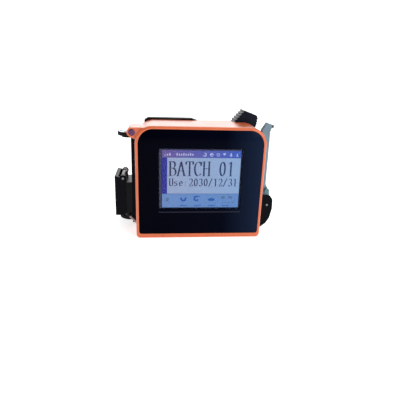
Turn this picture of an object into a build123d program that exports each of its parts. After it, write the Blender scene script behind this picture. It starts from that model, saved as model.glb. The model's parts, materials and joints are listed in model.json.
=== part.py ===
"""Handheld date code inkjet printer, built as a kit of separate pieces.

Millimetres.  +X points to the operator's right as they read the screen, +Y points from the
screen to the rear cover and +Z points up.  The origin is the middle of the flat base.
The print face is on the -X side and the cartridge latch is on the +X side.
"""
from build123d import *
import os

# ---------------------------------------------------------------- driving sizes
CASE_WIDTH = 92.8
CASE_HEIGHT = 83.0
CASE_DEPTH = 50.0
SHELL_DEPTH = 34.0          # depth of the coloured front shell
WALL = 2.2
FRONT_WALL = 4.2
TOP_CORNER = 12.5
BOTTOM_CORNER = 3.0
REAR_DROP = 1.6             # rear shell's top lies this much lower

GLASS_MARGIN = 2.0          # rim of the shell left beside the glass
GLASS_TOP_MARGIN = 2.0
GLASS_FOOT_MARGIN = 3.6
GLASS_THICKNESS = 1.5
GLASS_RECESS = 0.1
FRONT_EDGE = 1.4            # rounding of the front shell's outer edge
MASK_THICKNESS = 0.2
SCREEN_WIDTH = 57.6         # lit area
SCREEN_HEIGHT = 43.2
SCREEN_Z = 44.9
SCREEN_BORDER = 1.2         # clear border of the window round the lit area
LCD_MARGIN = 4.4            # metal frame beyond the clear window
LCD_DEPTH = 3.0
GASKET = 0.4

PARTITION_FRONT = 19.8      # from the case front to the partition
PARTITION = 1.2
BOARD_THICKNESS = 1.6
BOARD_FRONT = 7.0           # from the case front to the circuit board
BATTERY_THICKNESS = 8.0
BATTERY_WIDTH = 52.0
BATTERY_HEIGHT = 42.0

CARTRIDGE_WIDTH = 23.4      # along Y
CARTRIDGE_FOOT = 8.0        # lowest point of the cartridge above the base
CARTRIDGE_HEADROOM = 15.0   # from the cartridge lid up to the case top
CARTRIDGE_WALL = 1.4
CARTRIDGE_LID = 6.0
TAIL_FOOT = 29.0            # underside of the tail that reaches the latch
TAIL_LENGTH = 13.0
SNOUT_WIDTH = 14.4
SNOUT_FOOT = 14.4
SNOUT_HEIGHT = 19.2
CARTRIDGE_TRAVEL = 12.0

PLATE_THICKNESS = 3.9
PRINT_REACH = 13.95         # print plane beyond the case side
WHEEL_RADIUS = 7.4
WHEEL_THICKNESS = 2.9
TYRE = 0.7
AXLE_RADIUS = 1.5
SHELF = 1.1
UPPER_SHELF_DROP = 12.4     # from the case top down to the upper wheel's shelf
LOWER_SHELF = 5.4           # underside of the lower wheel's shelf

HINGE_REACH = 10.55         # cap hinge beyond the case side
HINGE_Z = 40.0
CAP_REACH = 16.8            # cap face beyond the case side
CAP_FOOT = 10.4
CAP_WALL = 1.7
CAP_CHEEK = 1.45
NOSE_WIDTH = 26.0           # along Y, over the cap
PIN_RADIUS = 0.8

PIVOT_REACH = 9.75          # latch pivot beyond the case side
PIVOT_Z = 19.0
LEVER_WALL = 2.0
LEVER_WIDTH = 22.0
ARM_THICKNESS = 2.5
CHEEK_THICKNESS = 2.5
WEB_THICKNESS = 2.0

GRIP_WIDTH = 14.0
GRIP_FRONT = 28.0           # from the case front to the grip
TRIGGER_LENGTH = 40.8
TRIGGER_WIDTH = 6.5
TRIGGER_TRAVEL = 1.2
BUTTON_RADIUS = 3.0
BUTTON_TRAVEL = 0.5

GAP = 0.35                  # clearance between pieces that move past each other
FIT = 0.05                  # radial clearance of a shaft in its bore
SEAT = 0.2                  # clearance round a piece that drops into a seat
EDGE = 0.4                  # broken edge of a machined or moulded piece

# ---------------------------------------------------------------- derived places
SIDE_X = CASE_WIDTH / 2
INNER_X = SIDE_X - WALL
FRONT_Y = -CASE_DEPTH / 2
BACK_Y = CASE_DEPTH / 2
SEAM_Y = FRONT_Y + SHELL_DEPTH
PARTITION_Y = FRONT_Y + PARTITION_FRONT
BAY_Y = PARTITION_Y + PARTITION
BAY_BACK_Y = BACK_Y - WALL
BOARD_Y = FRONT_Y + BOARD_FRONT
BOARD_BACK_Y = BOARD_Y + BOARD_THICKNESS
GLASS_BACK_Y = FRONT_Y + GLASS_RECESS + GLASS_THICKNESS
MASK_BACK_Y = GLASS_BACK_Y + MASK_THICKNESS
LCD_Y = MASK_BACK_Y + GASKET
LCD_BACK_Y = LCD_Y + LCD_DEPTH
WINDOW_WIDTH = SCREEN_WIDTH + 2 * SCREEN_BORDER
WINDOW_HEIGHT = SCREEN_HEIGHT + 2 * SCREEN_BORDER
LCD_WIDTH = WINDOW_WIDTH + 2 * LCD_MARGIN
LCD_HEIGHT = WINDOW_HEIGHT + LCD_MARGIN

CARTRIDGE_Y = BAY_Y + 1.8
CARTRIDGE_BACK_Y = CARTRIDGE_Y + CARTRIDGE_WIDTH
CARTRIDGE_MID_Y = (CARTRIDGE_Y + CARTRIDGE_BACK_Y) / 2
CARTRIDGE_X = -(SIDE_X - 8.65)
TAIL_X = SIDE_X - 4.65
MAIN_X = TAIL_X - TAIL_LENGTH
CARTRIDGE_TOP = CASE_HEIGHT - CARTRIDGE_HEADROOM
SNOUT_Y = CARTRIDGE_MID_Y - SNOUT_WIDTH / 2
SNOUT_BACK_Y = SNOUT_Y + SNOUT_WIDTH
SNOUT_TOP = SNOUT_FOOT + SNOUT_HEIGHT

PLATE_X = -(SIDE_X + PLATE_THICKNESS)
PRINT_X = -(SIDE_X + PRINT_REACH)
NOZZLE_X = PRINT_X + 2.1
WHEEL_X = PRINT_X + WHEEL_RADIUS
WHEEL_Y = FRONT_Y + 29.0
HINGE_X = -(SIDE_X + HINGE_REACH)
CAP_X = -(SIDE_X + CAP_REACH)
NOSE_Y = CARTRIDGE_MID_Y - NOSE_WIDTH / 2
NOSE_BACK_Y = NOSE_Y + NOSE_WIDTH
HOUSING_Y = NOSE_Y + CAP_CHEEK + GAP
HOUSING_BACK_Y = NOSE_BACK_Y - CAP_CHEEK - GAP
HOUSING_X = PRINT_X + 0.7
HOUSING_TOP = HINGE_Z - 3.5
UPPER_SHELF = CASE_HEIGHT - UPPER_SHELF_DROP

PIVOT_X = SIDE_X + PIVOT_REACH
MOUTH_FOOT = TAIL_FOOT - 2.0
MOUTH_TOP = CARTRIDGE_TOP + 0.6
MOUTH_Y = CARTRIDGE_Y - 0.6
MOUTH_BACK_Y = CARTRIDGE_BACK_Y + 0.6
GRIP_Y = FRONT_Y + GRIP_FRONT
GRIP_BACK_Y = GRIP_Y + GRIP_WIDTH
GRIP_X = SIDE_X - 19.85
LEVER_Y = FRONT_Y + 20.4
LEVER_BACK_Y = LEVER_Y + LEVER_WIDTH
CHEEK_Y = FRONT_Y + 20.0
ARM_Y = CHEEK_Y + CHEEK_THICKNESS + GAP
LEVER_TOP = CASE_HEIGHT + 1.0

TRIGGER_X = -40.7
TRIGGER_END_X = TRIGGER_X + TRIGGER_LENGTH
TRIGGER_Y = SEAM_Y + 0.4
TRIGGER_BACK_Y = TRIGGER_Y + TRIGGER_WIDTH
REAR_TOP = CASE_HEIGHT - REAR_DROP
FLANGE_TOP = REAR_TOP - WALL - 0.4
TRIGGER_BOARD_Z = FLANGE_TOP - 7.8


# ---------------------------------------------------------------- small helpers
def block(x0, x1, y0, y1, z0, z1):
    """Box between two opposite corners."""
    return Pos((x0 + x1) / 2, (y0 + y1) / 2, (z0 + z1) / 2) * Box(x1 - x0, y1 - y0, z1 - z0)


def rod_x(y, z, radius, x0, x1):
    """Round bar along X."""
    return Pos((x0 + x1) / 2, y, z) * Rot(0, 90, 0) * Cylinder(radius, x1 - x0)


def rod_y(x, z, radius, y0, y1):
    """Round bar along Y."""
    return Pos(x, (y0 + y1) / 2, z) * Rot(90, 0, 0) * Cylinder(radius, y1 - y0)


def rod_z(x, y, radius, z0, z1):
    """Round bar along Z."""
    return Pos(x, y, (z0 + z1) / 2) * Cylinder(radius, z1 - z0)


def slab(sketch, y0, y1):
    """Extrude a sketch drawn in X and Z from y0 back to y1."""
    return extrude(Plane.XZ.offset(-y1) * sketch, amount=y1 - y0)


def outline(points):
    """Closed flat outline through (x, z) points."""
    return make_face(Polyline(*points, close=True))


def case_outline(half_width, foot, top, top_radius, foot_radius):
    """Upright rectangle with two large top corners and two small bottom ones."""
    face = Pos(0, (foot + top) / 2) * Rectangle(2 * half_width, top - foot)
    face = fillet(face.vertices().group_by(Axis.Y)[-1], top_radius)
    return fillet(face.vertices().group_by(Axis.Y)[0], foot_radius)


def tube_y(x, z, outer, inner, y0, y1):
    """Round sleeve along Y."""
    return rod_y(x, z, outer, y0, y1) - rod_y(x, z, inner, y0 - 1, y1 + 1)


# ---------------------------------------------------------------- shared places
POST_PLACES = [(-INNER_X + 3.8, 14.0), (INNER_X - 3.8, 14.0),
               (-INNER_X + 10.4, CASE_HEIGHT - 7.5), (INNER_X - 10.4, CASE_HEIGHT - 7.5)]
POST_RADIUS = 2.6
STUD_RADIUS = 1.8
SMALL_SCREW = 0.9
CASE_SCREW = 1.2
CASE_SCREW_PLACES = [(-INNER_X + 2.6, 5.4), (INNER_X - 2.6, 5.4),
                     (-INNER_X + 2.2, CASE_HEIGHT - 17.0), (18.0, CASE_HEIGHT - 5.6)]
BOSS = 2.4
PLATE_SCREW_PLACES = [(y, z) for y in (CARTRIDGE_MID_Y - 7, CARTRIDGE_MID_Y + 7)
                      for z in (HINGE_Z + 5, UPPER_SHELF - 6)]
PLATE_SCREW = 1.1
PLATE_SCREW_HEAD = 2.2
BRACKET_SCREW_Y = CHEEK_Y + CHEEK_THICKNESS + 4.0
BRACKET_SCREW_BACK_Y = CHEEK_Y + LEVER_WIDTH - CHEEK_THICKNESS - 2.0
BRACKET_SCREW_PLACES = [(y, z) for y in (BRACKET_SCREW_Y, BRACKET_SCREW_BACK_Y) for z in (6.0, 22.0)]
BRACKET_SCREW = 1.0
LUG_X = -(SIDE_X + 2.0)
LUG_Z = CASE_HEIGHT - 5.0
LUG_RADIUS = 3.4
LUG_Y = FRONT_Y + 3.0
LUG_SCREW = 1.2
LUG_SCREW_HEAD = 2.2
LUG_SCREW_SINK = 1.8
LUG_BACK_Y = FRONT_Y + 20.0
BUTTON_Y = BOARD_BACK_Y + BUTTON_RADIUS + 0.9 + GAP
BUTTON_Z = CASE_HEIGHT - 23.0
USB_Z = 42.7
CHARGE_Z = 26.0
PORT_DEPTH = 6.9            # ports stand this far behind the board


def screw_boss(x, z, y0, y1):
    """Square boss that carries a case screw."""
    return block(x - BOSS, x + BOSS, y0, y1, z - BOSS, z + BOSS)


def mouth(y0, y1):
    """Opening the cartridge passes through, and the slot above it for the grip."""
    side = block(MAIN_X, SIDE_X + 5, max(y0, MOUTH_Y), min(y1, MOUTH_BACK_Y), MOUTH_FOOT, MOUTH_TOP)
    grip_slot = block(GRIP_X - 0.7, SIDE_X + 5, max(y0, GRIP_Y - 0.7), min(y1, GRIP_BACK_Y + 0.7),
                      MOUTH_FOOT, CASE_HEIGHT + 5)
    return side + grip_slot


def snout_window(x0, x1, margin):
    """Rectangular way for the cartridge snout."""
    return block(x0, x1, SNOUT_Y - margin, SNOUT_BACK_Y + margin,
                 SNOUT_FOOT - margin, SNOUT_TOP + margin)


def wheel_pocket(shelf):
    """Room for a guide wheel that stands on the shelf whose underside is given."""
    return rod_z(WHEEL_X, WHEEL_Y, WHEEL_RADIUS + GAP, shelf + SHELF, shelf + SHELF + WHEEL_THICKNESS + 0.7)


# ---------------------------------------------------------------- case
def make_front_shell():
    outer = slab(case_outline(SIDE_X, 0, CASE_HEIGHT, TOP_CORNER, BOTTOM_CORNER), FRONT_Y, SEAM_Y)
    outer = fillet(outer.faces().sort_by(Axis.Y)[0].edges(), FRONT_EDGE)
    web = outline([(LUG_X, LUG_Z + LUG_RADIUS), (-SIDE_X + 8, LUG_Z + LUG_RADIUS),
                   (-SIDE_X + 8, LUG_Z - LUG_RADIUS - 1.3), (-SIDE_X, LUG_Z - LUG_RADIUS - 1.3),
                   (LUG_X - 1, LUG_Z - LUG_RADIUS + 0.1)])
    lug = slab(web, LUG_Y, LUG_BACK_Y) + rod_y(LUG_X, LUG_Z, LUG_RADIUS, LUG_Y, LUG_BACK_Y)
    cavity_outline = case_outline(INNER_X, WALL, CASE_HEIGHT - WALL, TOP_CORNER - WALL, 1.0)
    shell = outer + lug - slab(cavity_outline, FRONT_Y + FRONT_WALL, SEAM_Y + 1)
    for x, z in POST_PLACES:
        shell += rod_y(x, z, POST_RADIUS, FRONT_Y + FRONT_WALL, BOARD_Y)
        shell += rod_y(x, z, STUD_RADIUS, BOARD_Y, PARTITION_Y)
        shell -= rod_y(x, z, SMALL_SCREW, PARTITION_Y - 4, PARTITION_Y + 1)
    cavity = slab(cavity_outline, BAY_Y + 0.3, SEAM_Y)
    for x, z in CASE_SCREW_PLACES:
        reach = block(x - BOSS, x + BOSS, BAY_Y + 0.3, SEAM_Y, z - BOSS, z + BOSS)
        if z > CASE_HEIGHT - 10:
            reach += block(x - BOSS, x + BOSS, BAY_Y + 0.3, SEAM_Y, z, CASE_HEIGHT - WALL)
        elif z < 10:
            reach += block(x - BOSS, x + BOSS, BAY_Y + 0.3, SEAM_Y, WALL, z)
        shell += reach & cavity
        shell -= rod_y(x, z, CASE_SCREW, SEAM_Y - 10, SEAM_Y + 1)
    seat = case_outline(SIDE_X - GLASS_MARGIN, GLASS_FOOT_MARGIN, CASE_HEIGHT - GLASS_TOP_MARGIN,
                        TOP_CORNER - GLASS_MARGIN, 2.0)
    shell -= slab(seat, FRONT_Y - 1, MASK_BACK_Y)
    shell -= block(-LCD_WIDTH / 2 - SEAT, LCD_WIDTH / 2 + SEAT, MASK_BACK_Y - 1, FRONT_Y + FRONT_WALL + 1,
                   SCREEN_Z - LCD_HEIGHT / 2 - SEAT, SCREEN_Z + LCD_HEIGHT / 2 + SEAT)
    shell -= mouth(BAY_Y - 5, SEAM_Y + 1)
    shell -= snout_window(-SIDE_X - 1, -INNER_X + 3, 0.8)
    for shelf in (LOWER_SHELF, UPPER_SHELF):
        shell -= wheel_pocket(shelf)
    shell -= rod_y(LUG_X, LUG_Z, LUG_SCREW, LUG_Y - 1, LUG_BACK_Y - 1)
    shell -= rod_y(LUG_X, LUG_Z, LUG_SCREW_HEAD + SEAT, LUG_Y - 1, LUG_Y + LUG_SCREW_SINK)
    for y, z in PLATE_SCREW_PLACES:
        shell -= rod_x(y, z, PLATE_SCREW, -SIDE_X - 1, -INNER_X + 1)
    for y, z in BRACKET_SCREW_PLACES:
        shell -= rod_x(y, z, BRACKET_SCREW, INNER_X - 1, SIDE_X + 1)
    shell -= rod_x(BUTTON_Y, BUTTON_Z, BUTTON_RADIUS + GAP, INNER_X - 1, SIDE_X + 1)
    port_mid = BOARD_BACK_Y + PORT_DEPTH / 2
    shell -= block(INNER_X - 1, SIDE_X + 1, BOARD_BACK_Y - SEAT, BOARD_BACK_Y + PORT_DEPTH + SEAT,
                   USB_Z - 6.7 - SEAT, USB_Z + 6.7 + SEAT)
    shell -= rod_x(port_mid, CHARGE_Z, 3.1, INNER_X - 1, SIDE_X + 1)
    return shell


def make_rear_shell():
    outer = slab(case_outline(SIDE_X, 0, REAR_TOP, TOP_CORNER, BOTTOM_CORNER), SEAM_Y, BACK_Y)
    outer = fillet(outer.faces().sort_by(Axis.Y)[-1].edges(), 2.6)
    cavity_outline = case_outline(INNER_X, WALL, REAR_TOP - WALL, TOP_CORNER - WALL, 1.0)
    cavity = slab(cavity_outline, SEAM_Y, BAY_BACK_Y)
    shell = outer - slab(cavity_outline, SEAM_Y - 1, BAY_BACK_Y)
    for x, z in CASE_SCREW_PLACES:
        reach = screw_boss(x, z, SEAM_Y, BAY_BACK_Y + 0.5)
        if z > CASE_HEIGHT - 10:
            reach += block(x - BOSS, x + BOSS, SEAM_Y, BAY_BACK_Y, z, REAR_TOP - WALL)
        elif z < 10:
            reach += block(x - BOSS, x + BOSS, SEAM_Y, BAY_BACK_Y, WALL, z)
        shell += reach & cavity
        shell -= rod_y(x, z, CASE_SCREW + 0.1, SEAM_Y - 1, BACK_Y + 1)
        shell -= rod_y(x, z, 2.1, BACK_Y - 2.4, BACK_Y + 1)
    for x in (TRIGGER_X + 8, TRIGGER_END_X - 8):
        shell += block(x - 3, x + 3, TRIGGER_BACK_Y - 1, BAY_BACK_Y + 0.5,
                       TRIGGER_BOARD_Z - 1.6, TRIGGER_BOARD_Z)
    shell -= block(TRIGGER_X - GAP, TRIGGER_END_X + GAP, SEAM_Y - 1, TRIGGER_BACK_Y + GAP,
                   TRIGGER_BOARD_Z + 4, CASE_HEIGHT + 5)
    shell -= mouth(SEAM_Y - 1, BACK_Y)
    shell -= snout_window(-SIDE_X - 1, -INNER_X + 1, 0.8)
    for shelf in (LOWER_SHELF, UPPER_SHELF):
        shell -= wheel_pocket(shelf)
    for y, z in PLATE_SCREW_PLACES:
        shell -= rod_x(y, z, PLATE_SCREW, -SIDE_X - 1, -INNER_X + 1)
    for y, z in BRACKET_SCREW_PLACES:
        shell -= rod_x(y, z, BRACKET_SCREW, INNER_X - 1, SIDE_X + 1)
    return shell


def make_case_screws():
    screws = []
    for x, z in CASE_SCREW_PLACES:
        screw = rod_y(x, z, CASE_SCREW, SEAM_Y - 8, BACK_Y - 2.4)
        screw += rod_y(x, z, 2.0, BACK_Y - 2.4, BACK_Y - 0.7)
        screw -= rod_y(x, z, 0.8, BACK_Y - 1.7, BACK_Y)
        screws.append(screw)
    return Compound(children=screws)


def make_partition():
    plate = slab(case_outline(INNER_X - SEAT, WALL + SEAT, CASE_HEIGHT - WALL - SEAT,
                              TOP_CORNER - WALL - SEAT, 1.0), PARTITION_Y, BAY_Y)
    for x, z in CASE_SCREW_PLACES:
        edge = BOSS + SEAT
        plate -= block(x - edge, x + edge, PARTITION_Y - 1, BAY_Y + 1, z - edge, z + edge)
        if z > CASE_HEIGHT - 10:
            plate -= block(x - edge, x + edge, PARTITION_Y - 1, BAY_Y + 1, z, CASE_HEIGHT)
        elif z < 10:
            plate -= block(x - edge, x + edge, PARTITION_Y - 1, BAY_Y + 1, 0, z)
        if abs(x) > INNER_X - 5:
            out = x * 2
            plate -= block(min(x, out), max(x, out), PARTITION_Y - 1, BAY_Y + 1, z - edge, z + edge)
    for x, z in POST_PLACES:
        plate -= rod_y(x, z, SMALL_SCREW, PARTITION_Y - 1, BAY_Y + 1)
        plate -= rod_y(x, z, 1.7, BAY_Y - 0.7, BAY_Y + 1)
    plate -= block(CONTACT_X - 0.4, CONTACT_X + 6.4, PARTITION_Y - 1, BAY_Y + 1,
                   CONTACT_Z - 0.8, CONTACT_Z + 0.8)
    return plate


def make_partition_screws():
    screws = []
    for x, z in POST_PLACES:
        screw = rod_y(x, z, SMALL_SCREW, PARTITION_Y - 3.5, BAY_Y)
        screw += rod_y(x, z, 1.6, BAY_Y - 0.7, BAY_Y)
        screws.append(screw)
    return Compound(children=screws)


# ---------------------------------------------------------------- screen and electronics
def make_glass():
    sheet = case_outline(SIDE_X - GLASS_MARGIN - 0.1, GLASS_FOOT_MARGIN + 0.1,
                         CASE_HEIGHT - GLASS_TOP_MARGIN - 0.1, TOP_CORNER - GLASS_MARGIN - 0.1, 1.9)
    return slab(sheet, FRONT_Y + GLASS_RECESS, GLASS_BACK_Y)


def make_mask():
    sheet = case_outline(SIDE_X - GLASS_MARGIN - 0.1, GLASS_FOOT_MARGIN + 0.1,
                         CASE_HEIGHT - GLASS_TOP_MARGIN - 0.1, TOP_CORNER - GLASS_MARGIN - 0.1, 1.9)
    sheet -= Pos(0, SCREEN_Z) * Rectangle(WINDOW_WIDTH, WINDOW_HEIGHT)
    return slab(sheet, GLASS_BACK_Y, MASK_BACK_Y)


def screen_ring(width, height, hole_width, hole_height, y0, y1):
    """Rectangular ring centred on the screen."""
    ring = Pos(0, SCREEN_Z) * Rectangle(width, height)
    ring -= Pos(0, SCREEN_Z) * Rectangle(hole_width, hole_height)
    return slab(ring, y0, y1)


def make_gasket():
    return screen_ring(LCD_WIDTH, LCD_HEIGHT, WINDOW_WIDTH + 1, WINDOW_HEIGHT + 1, MASK_BACK_Y, LCD_Y)


def make_lcd_frame():
    rim = screen_ring(LCD_WIDTH, LCD_HEIGHT, LCD_WIDTH - 1, LCD_HEIGHT - 1, LCD_Y, LCD_BACK_Y)
    return rim + screen_ring(LCD_WIDTH, LCD_HEIGHT, WINDOW_WIDTH, WINDOW_HEIGHT, LCD_Y, LCD_Y + 0.4)


def make_lcd_panel():
    panel = Pos(0, SCREEN_Z) * Rectangle(LCD_WIDTH - 1.2, LCD_HEIGHT - 1.2)
    return slab(panel, LCD_Y + 0.4, LCD_BACK_Y)


def make_lcd_flex():
    foot = SCREEN_Z - LCD_HEIGHT / 2 + 1
    return block(-10, 10, LCD_BACK_Y, BOARD_Y, foot, foot + 0.3)


def make_board():
    board = slab(case_outline(INNER_X - 1.5, WALL + 5, CASE_HEIGHT - WALL - 1.5, TOP_CORNER - WALL - 1.5, 1.5),
                 BOARD_Y, BOARD_BACK_Y)
    for x, z in POST_PLACES:
        board -= rod_y(x, z, STUD_RADIUS + SEAT, BOARD_Y - 1, BOARD_BACK_Y + 1)
    return board


BATTERY_X = -30.0
BATTERY_Z = 14.0
CONTACT_X = CARTRIDGE_X
CONTACT_Z = SNOUT_FOOT + SNOUT_HEIGHT / 2


def make_board_parts():
    connector = block(-8, 8, BOARD_BACK_Y, BOARD_BACK_Y + 4, CASE_HEIGHT - 19, CASE_HEIGHT - 14)
    coil = rod_y(-22, CASE_HEIGHT - 16, 3.2, BOARD_BACK_Y, BOARD_BACK_Y + 3)
    driver = block(-37, -32, BOARD_BACK_Y, BOARD_BACK_Y + 1.2, 40, 48)
    header = block(BATTERY_X + BATTERY_WIDTH + 1, BATTERY_X + BATTERY_WIDTH + 6, BOARD_BACK_Y,
                   BOARD_BACK_Y + 5, 14, 20)
    return Compound(children=[connector, coil, driver, header])


def make_usb_port():
    y0, y1 = BOARD_BACK_Y, BOARD_BACK_Y + PORT_DEPTH
    port = block(SIDE_X - 15.5, SIDE_X - 0.4, y0, y1, USB_Z - 6.7, USB_Z + 6.7)
    port -= block(SIDE_X - 12.5, SIDE_X + 1, y0 + 0.6, y1 - 0.6, USB_Z - 6.1, USB_Z + 6.1)
    return port + block(SIDE_X - 13, SIDE_X - 2.5, y0 + 3.0, y0 + 4.9, USB_Z - 5.2, USB_Z + 5.2)


def make_charge_port():
    y0 = BOARD_BACK_Y
    mid = y0 + PORT_DEPTH / 2
    port = block(SIDE_X - 13, INNER_X - SEAT, y0, y0 + PORT_DEPTH, CHARGE_Z - 3.5, CHARGE_Z + 3.5)
    port += rod_x(mid, CHARGE_Z, 2.9, INNER_X - SEAT - 1, SIDE_X - 0.4)
    port -= rod_x(mid, CHARGE_Z, 1.9, SIDE_X - 10, SIDE_X)
    return port + rod_x(mid, CHARGE_Z, 0.5, SIDE_X - 11, SIDE_X - 2)


def make_power_button():
    cap = rod_x(BUTTON_Y, BUTTON_Z, BUTTON_RADIUS, INNER_X - 1.1, SIDE_X + 0.7)
    cap = fillet(cap.faces().sort_by(Axis.X)[-1].edges(), 0.4)
    return cap + rod_x(BUTTON_Y, BUTTON_Z, BUTTON_RADIUS + 0.9, INNER_X - 1.1, INNER_X - GAP)


def make_power_switch():
    end = INNER_X - 1.1 - BUTTON_TRAVEL - GAP
    body = block(end - 6, end - 1, BOARD_BACK_Y, BUTTON_Y + 2, BUTTON_Z - 3, BUTTON_Z + 3)
    return body + rod_x(BUTTON_Y, BUTTON_Z, 1.2, end - 1.5, end)


# ---------------------------------------------------------------- cartridge bay
def make_cradle():
    floor = block(CARTRIDGE_X, MAIN_X, BAY_Y, BAY_BACK_Y, WALL, CARTRIDGE_FOOT - GAP)
    floor -= block(CARTRIDGE_X + 3, MAIN_X - 3, BAY_Y + 3, BAY_BACK_Y - 3, 0, CARTRIDGE_FOOT - GAP - 1.5)
    lip_top = CARTRIDGE_FOOT + 5
    floor += block(CARTRIDGE_X, MAIN_X, BAY_Y, CARTRIDGE_Y - GAP, CARTRIDGE_FOOT - 1, lip_top)
    return floor + block(CARTRIDGE_X, MAIN_X, CARTRIDGE_BACK_Y + GAP, BAY_BACK_Y, CARTRIDGE_FOOT - 1, lip_top)


CONTACT_FACE_Y = CARTRIDGE_Y - 0.15 - GAP


def make_contact_block():
    return block(CONTACT_X, CONTACT_X + 14, BAY_Y, CONTACT_FACE_Y - 0.35, CONTACT_Z - 8, CONTACT_Z + 8)


def make_contact_pins():
    pins = []
    for row in range(4):
        for column in range(5):
            x = CONTACT_X + 2.2 + column * 2.4
            z = CONTACT_Z - 5.4 + row * 3.6
            pins.append(rod_y(x, z, 0.5, CONTACT_FACE_Y - 0.35, CONTACT_FACE_Y))
    return Compound(children=pins)


def make_contact_flex():
    return block(CONTACT_X, CONTACT_X + 6, BOARD_BACK_Y, BAY_Y, CONTACT_Z - 0.15, CONTACT_Z + 0.15)


def cartridge_outline(inset, top):
    """Side view of the ink tank."""
    return outline([(CARTRIDGE_X + inset, CARTRIDGE_FOOT + inset), (MAIN_X - inset, CARTRIDGE_FOOT + inset),
                    (MAIN_X - inset, TAIL_FOOT + inset), (TAIL_X - inset, TAIL_FOOT + inset),
                    (TAIL_X - inset, top), (CARTRIDGE_X + inset, top)])


TANK_TOP = CARTRIDGE_TOP - CARTRIDGE_LID


def make_cartridge_body():
    tank = slab(cartridge_outline(0, TANK_TOP), CARTRIDGE_Y, CARTRIDGE_BACK_Y)
    tank -= slab(cartridge_outline(CARTRIDGE_WALL, TANK_TOP + 1),
                 CARTRIDGE_Y + CARTRIDGE_WALL, CARTRIDGE_BACK_Y - CARTRIDGE_WALL)
    snout = block(NOZZLE_X + 0.3, CARTRIDGE_X + 0.5, SNOUT_Y, SNOUT_BACK_Y, SNOUT_FOOT, SNOUT_TOP)
    return tank + snout


def make_ink_foam():
    edge = CARTRIDGE_WALL + SEAT
    return slab(cartridge_outline(edge, TANK_TOP - 2), CARTRIDGE_Y + edge, CARTRIDGE_BACK_Y - edge)


def make_cartridge_lid():
    lid = block(CARTRIDGE_X, TAIL_X, CARTRIDGE_Y, CARTRIDGE_BACK_Y, TANK_TOP, CARTRIDGE_TOP)
    lid = fillet(lid.faces().sort_by(Axis.Z)[-1].edges(), 1.2)
    return lid - rod_z(CARTRIDGE_X + 16, CARTRIDGE_MID_Y, 1.0, CARTRIDGE_TOP - 2, CARTRIDGE_TOP + 1)


GRIP_PEAK_X = SIDE_X - 11.3
GRIP_PEAK_Z = CASE_HEIGHT + 8.4
GRIP_KNEE_Z = CASE_HEIGHT - 1.0
GRIP_HEEL_X = SIDE_X - 1.2
GRIP_HEEL_Z = CASE_HEIGHT + 5.0
HEEL_RIB_COUNT = 3
HEEL_RIB_PITCH = 1.9
HEEL_RIB_RADIUS = 0.7
RIB_PITCH = 2.3
RIB_RADIUS = 0.8
RIB_COUNT = 5


def make_grip():
    side = outline([(GRIP_X, CARTRIDGE_TOP), (GRIP_X, GRIP_KNEE_Z), (GRIP_PEAK_X, GRIP_PEAK_Z),
                    (GRIP_HEEL_X, GRIP_HEEL_Z), (SIDE_X - 2.2, CASE_HEIGHT - 3.0),
                    (TAIL_X, CARTRIDGE_TOP + 6), (TAIL_X, CARTRIDGE_TOP)])
    grip = slab(side, GRIP_Y, GRIP_BACK_Y)
    corner = grip.edges().filter_by(Axis.Y).sort_by(Axis.X)[-1]
    grip = fillet(corner, 1.8)
    grip = chamfer(grip.faces().sort_by(Axis.Y)[0].edges(), EDGE)
    for number in range(HEEL_RIB_COUNT):
        drop = 2.2 + number * HEEL_RIB_PITCH
        grip += rod_y(GRIP_HEEL_X - 0.45 - number * 0.25, GRIP_HEEL_Z - drop, HEEL_RIB_RADIUS,
                      GRIP_Y + 0.6, GRIP_BACK_Y - 0.6)
    run_x = GRIP_PEAK_X - GRIP_X
    run_z = GRIP_PEAK_Z - GRIP_KNEE_Z
    run = (run_x ** 2 + run_z ** 2) ** 0.5
    for number in range(RIB_COUNT):
        along = (run - 0.7 - number * RIB_PITCH) / run
        grip += rod_y(GRIP_X + run_x * along, GRIP_KNEE_Z + run_z * along, RIB_RADIUS, GRIP_Y, GRIP_BACK_Y)
    return grip


def make_nozzle_plate():
    return block(NOZZLE_X, NOZZLE_X + 0.3, SNOUT_Y + 2, SNOUT_BACK_Y - 2, SNOUT_FOOT + 1.5, SNOUT_TOP - 1.5)


def make_cartridge_pads():
    pads = []
    for row in range(4):
        for column in range(5):
            x = CONTACT_X + 2.2 + column * 2.4
            z = CONTACT_Z - 5.4 + row * 3.6
            pads.append(block(x - 0.8, x + 0.8, CARTRIDGE_Y - 0.15, CARTRIDGE_Y, z - 0.8, z + 0.8))
    return Compound(children=pads)


# ---------------------------------------------------------------- print side
PLATE_Y = FRONT_Y + 21.0
PLATE_BACK_Y = NOSE_BACK_Y
PLATE_FOOT = LOWER_SHELF - 1.0
PLATE_TOP = CASE_HEIGHT - 8.7


def make_side_plate():
    plate = block(PLATE_X, -SIDE_X, PLATE_Y, PLATE_BACK_Y, PLATE_FOOT, PLATE_TOP)
    plate = chamfer(plate.faces().sort_by(Axis.X)[0].edges(), 0.5)
    for shelf in (LOWER_SHELF, UPPER_SHELF):
        plate -= wheel_pocket(shelf)
        foot = block(WHEEL_X, PLATE_X + 1, WHEEL_Y - 4.5, WHEEL_Y + 4.5, shelf, shelf + SHELF)
        foot += rod_z(WHEEL_X, WHEEL_Y, 4.5, shelf, shelf + SHELF)
        plate += foot
        plate -= rod_z(WHEEL_X, WHEEL_Y, 1.0, shelf - 1, shelf + SHELF + 1)
    plate -= snout_window(PLATE_X - 1, -SIDE_X + 1, 0.8)
    for y, z in PLATE_SCREW_PLACES:
        plate -= rod_x(y, z, PLATE_SCREW, PLATE_X - 1, -SIDE_X + 1)
        plate -= rod_x(y, z, PLATE_SCREW_HEAD, PLATE_X - 1, PLATE_X + 1.2)
    return plate


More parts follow.
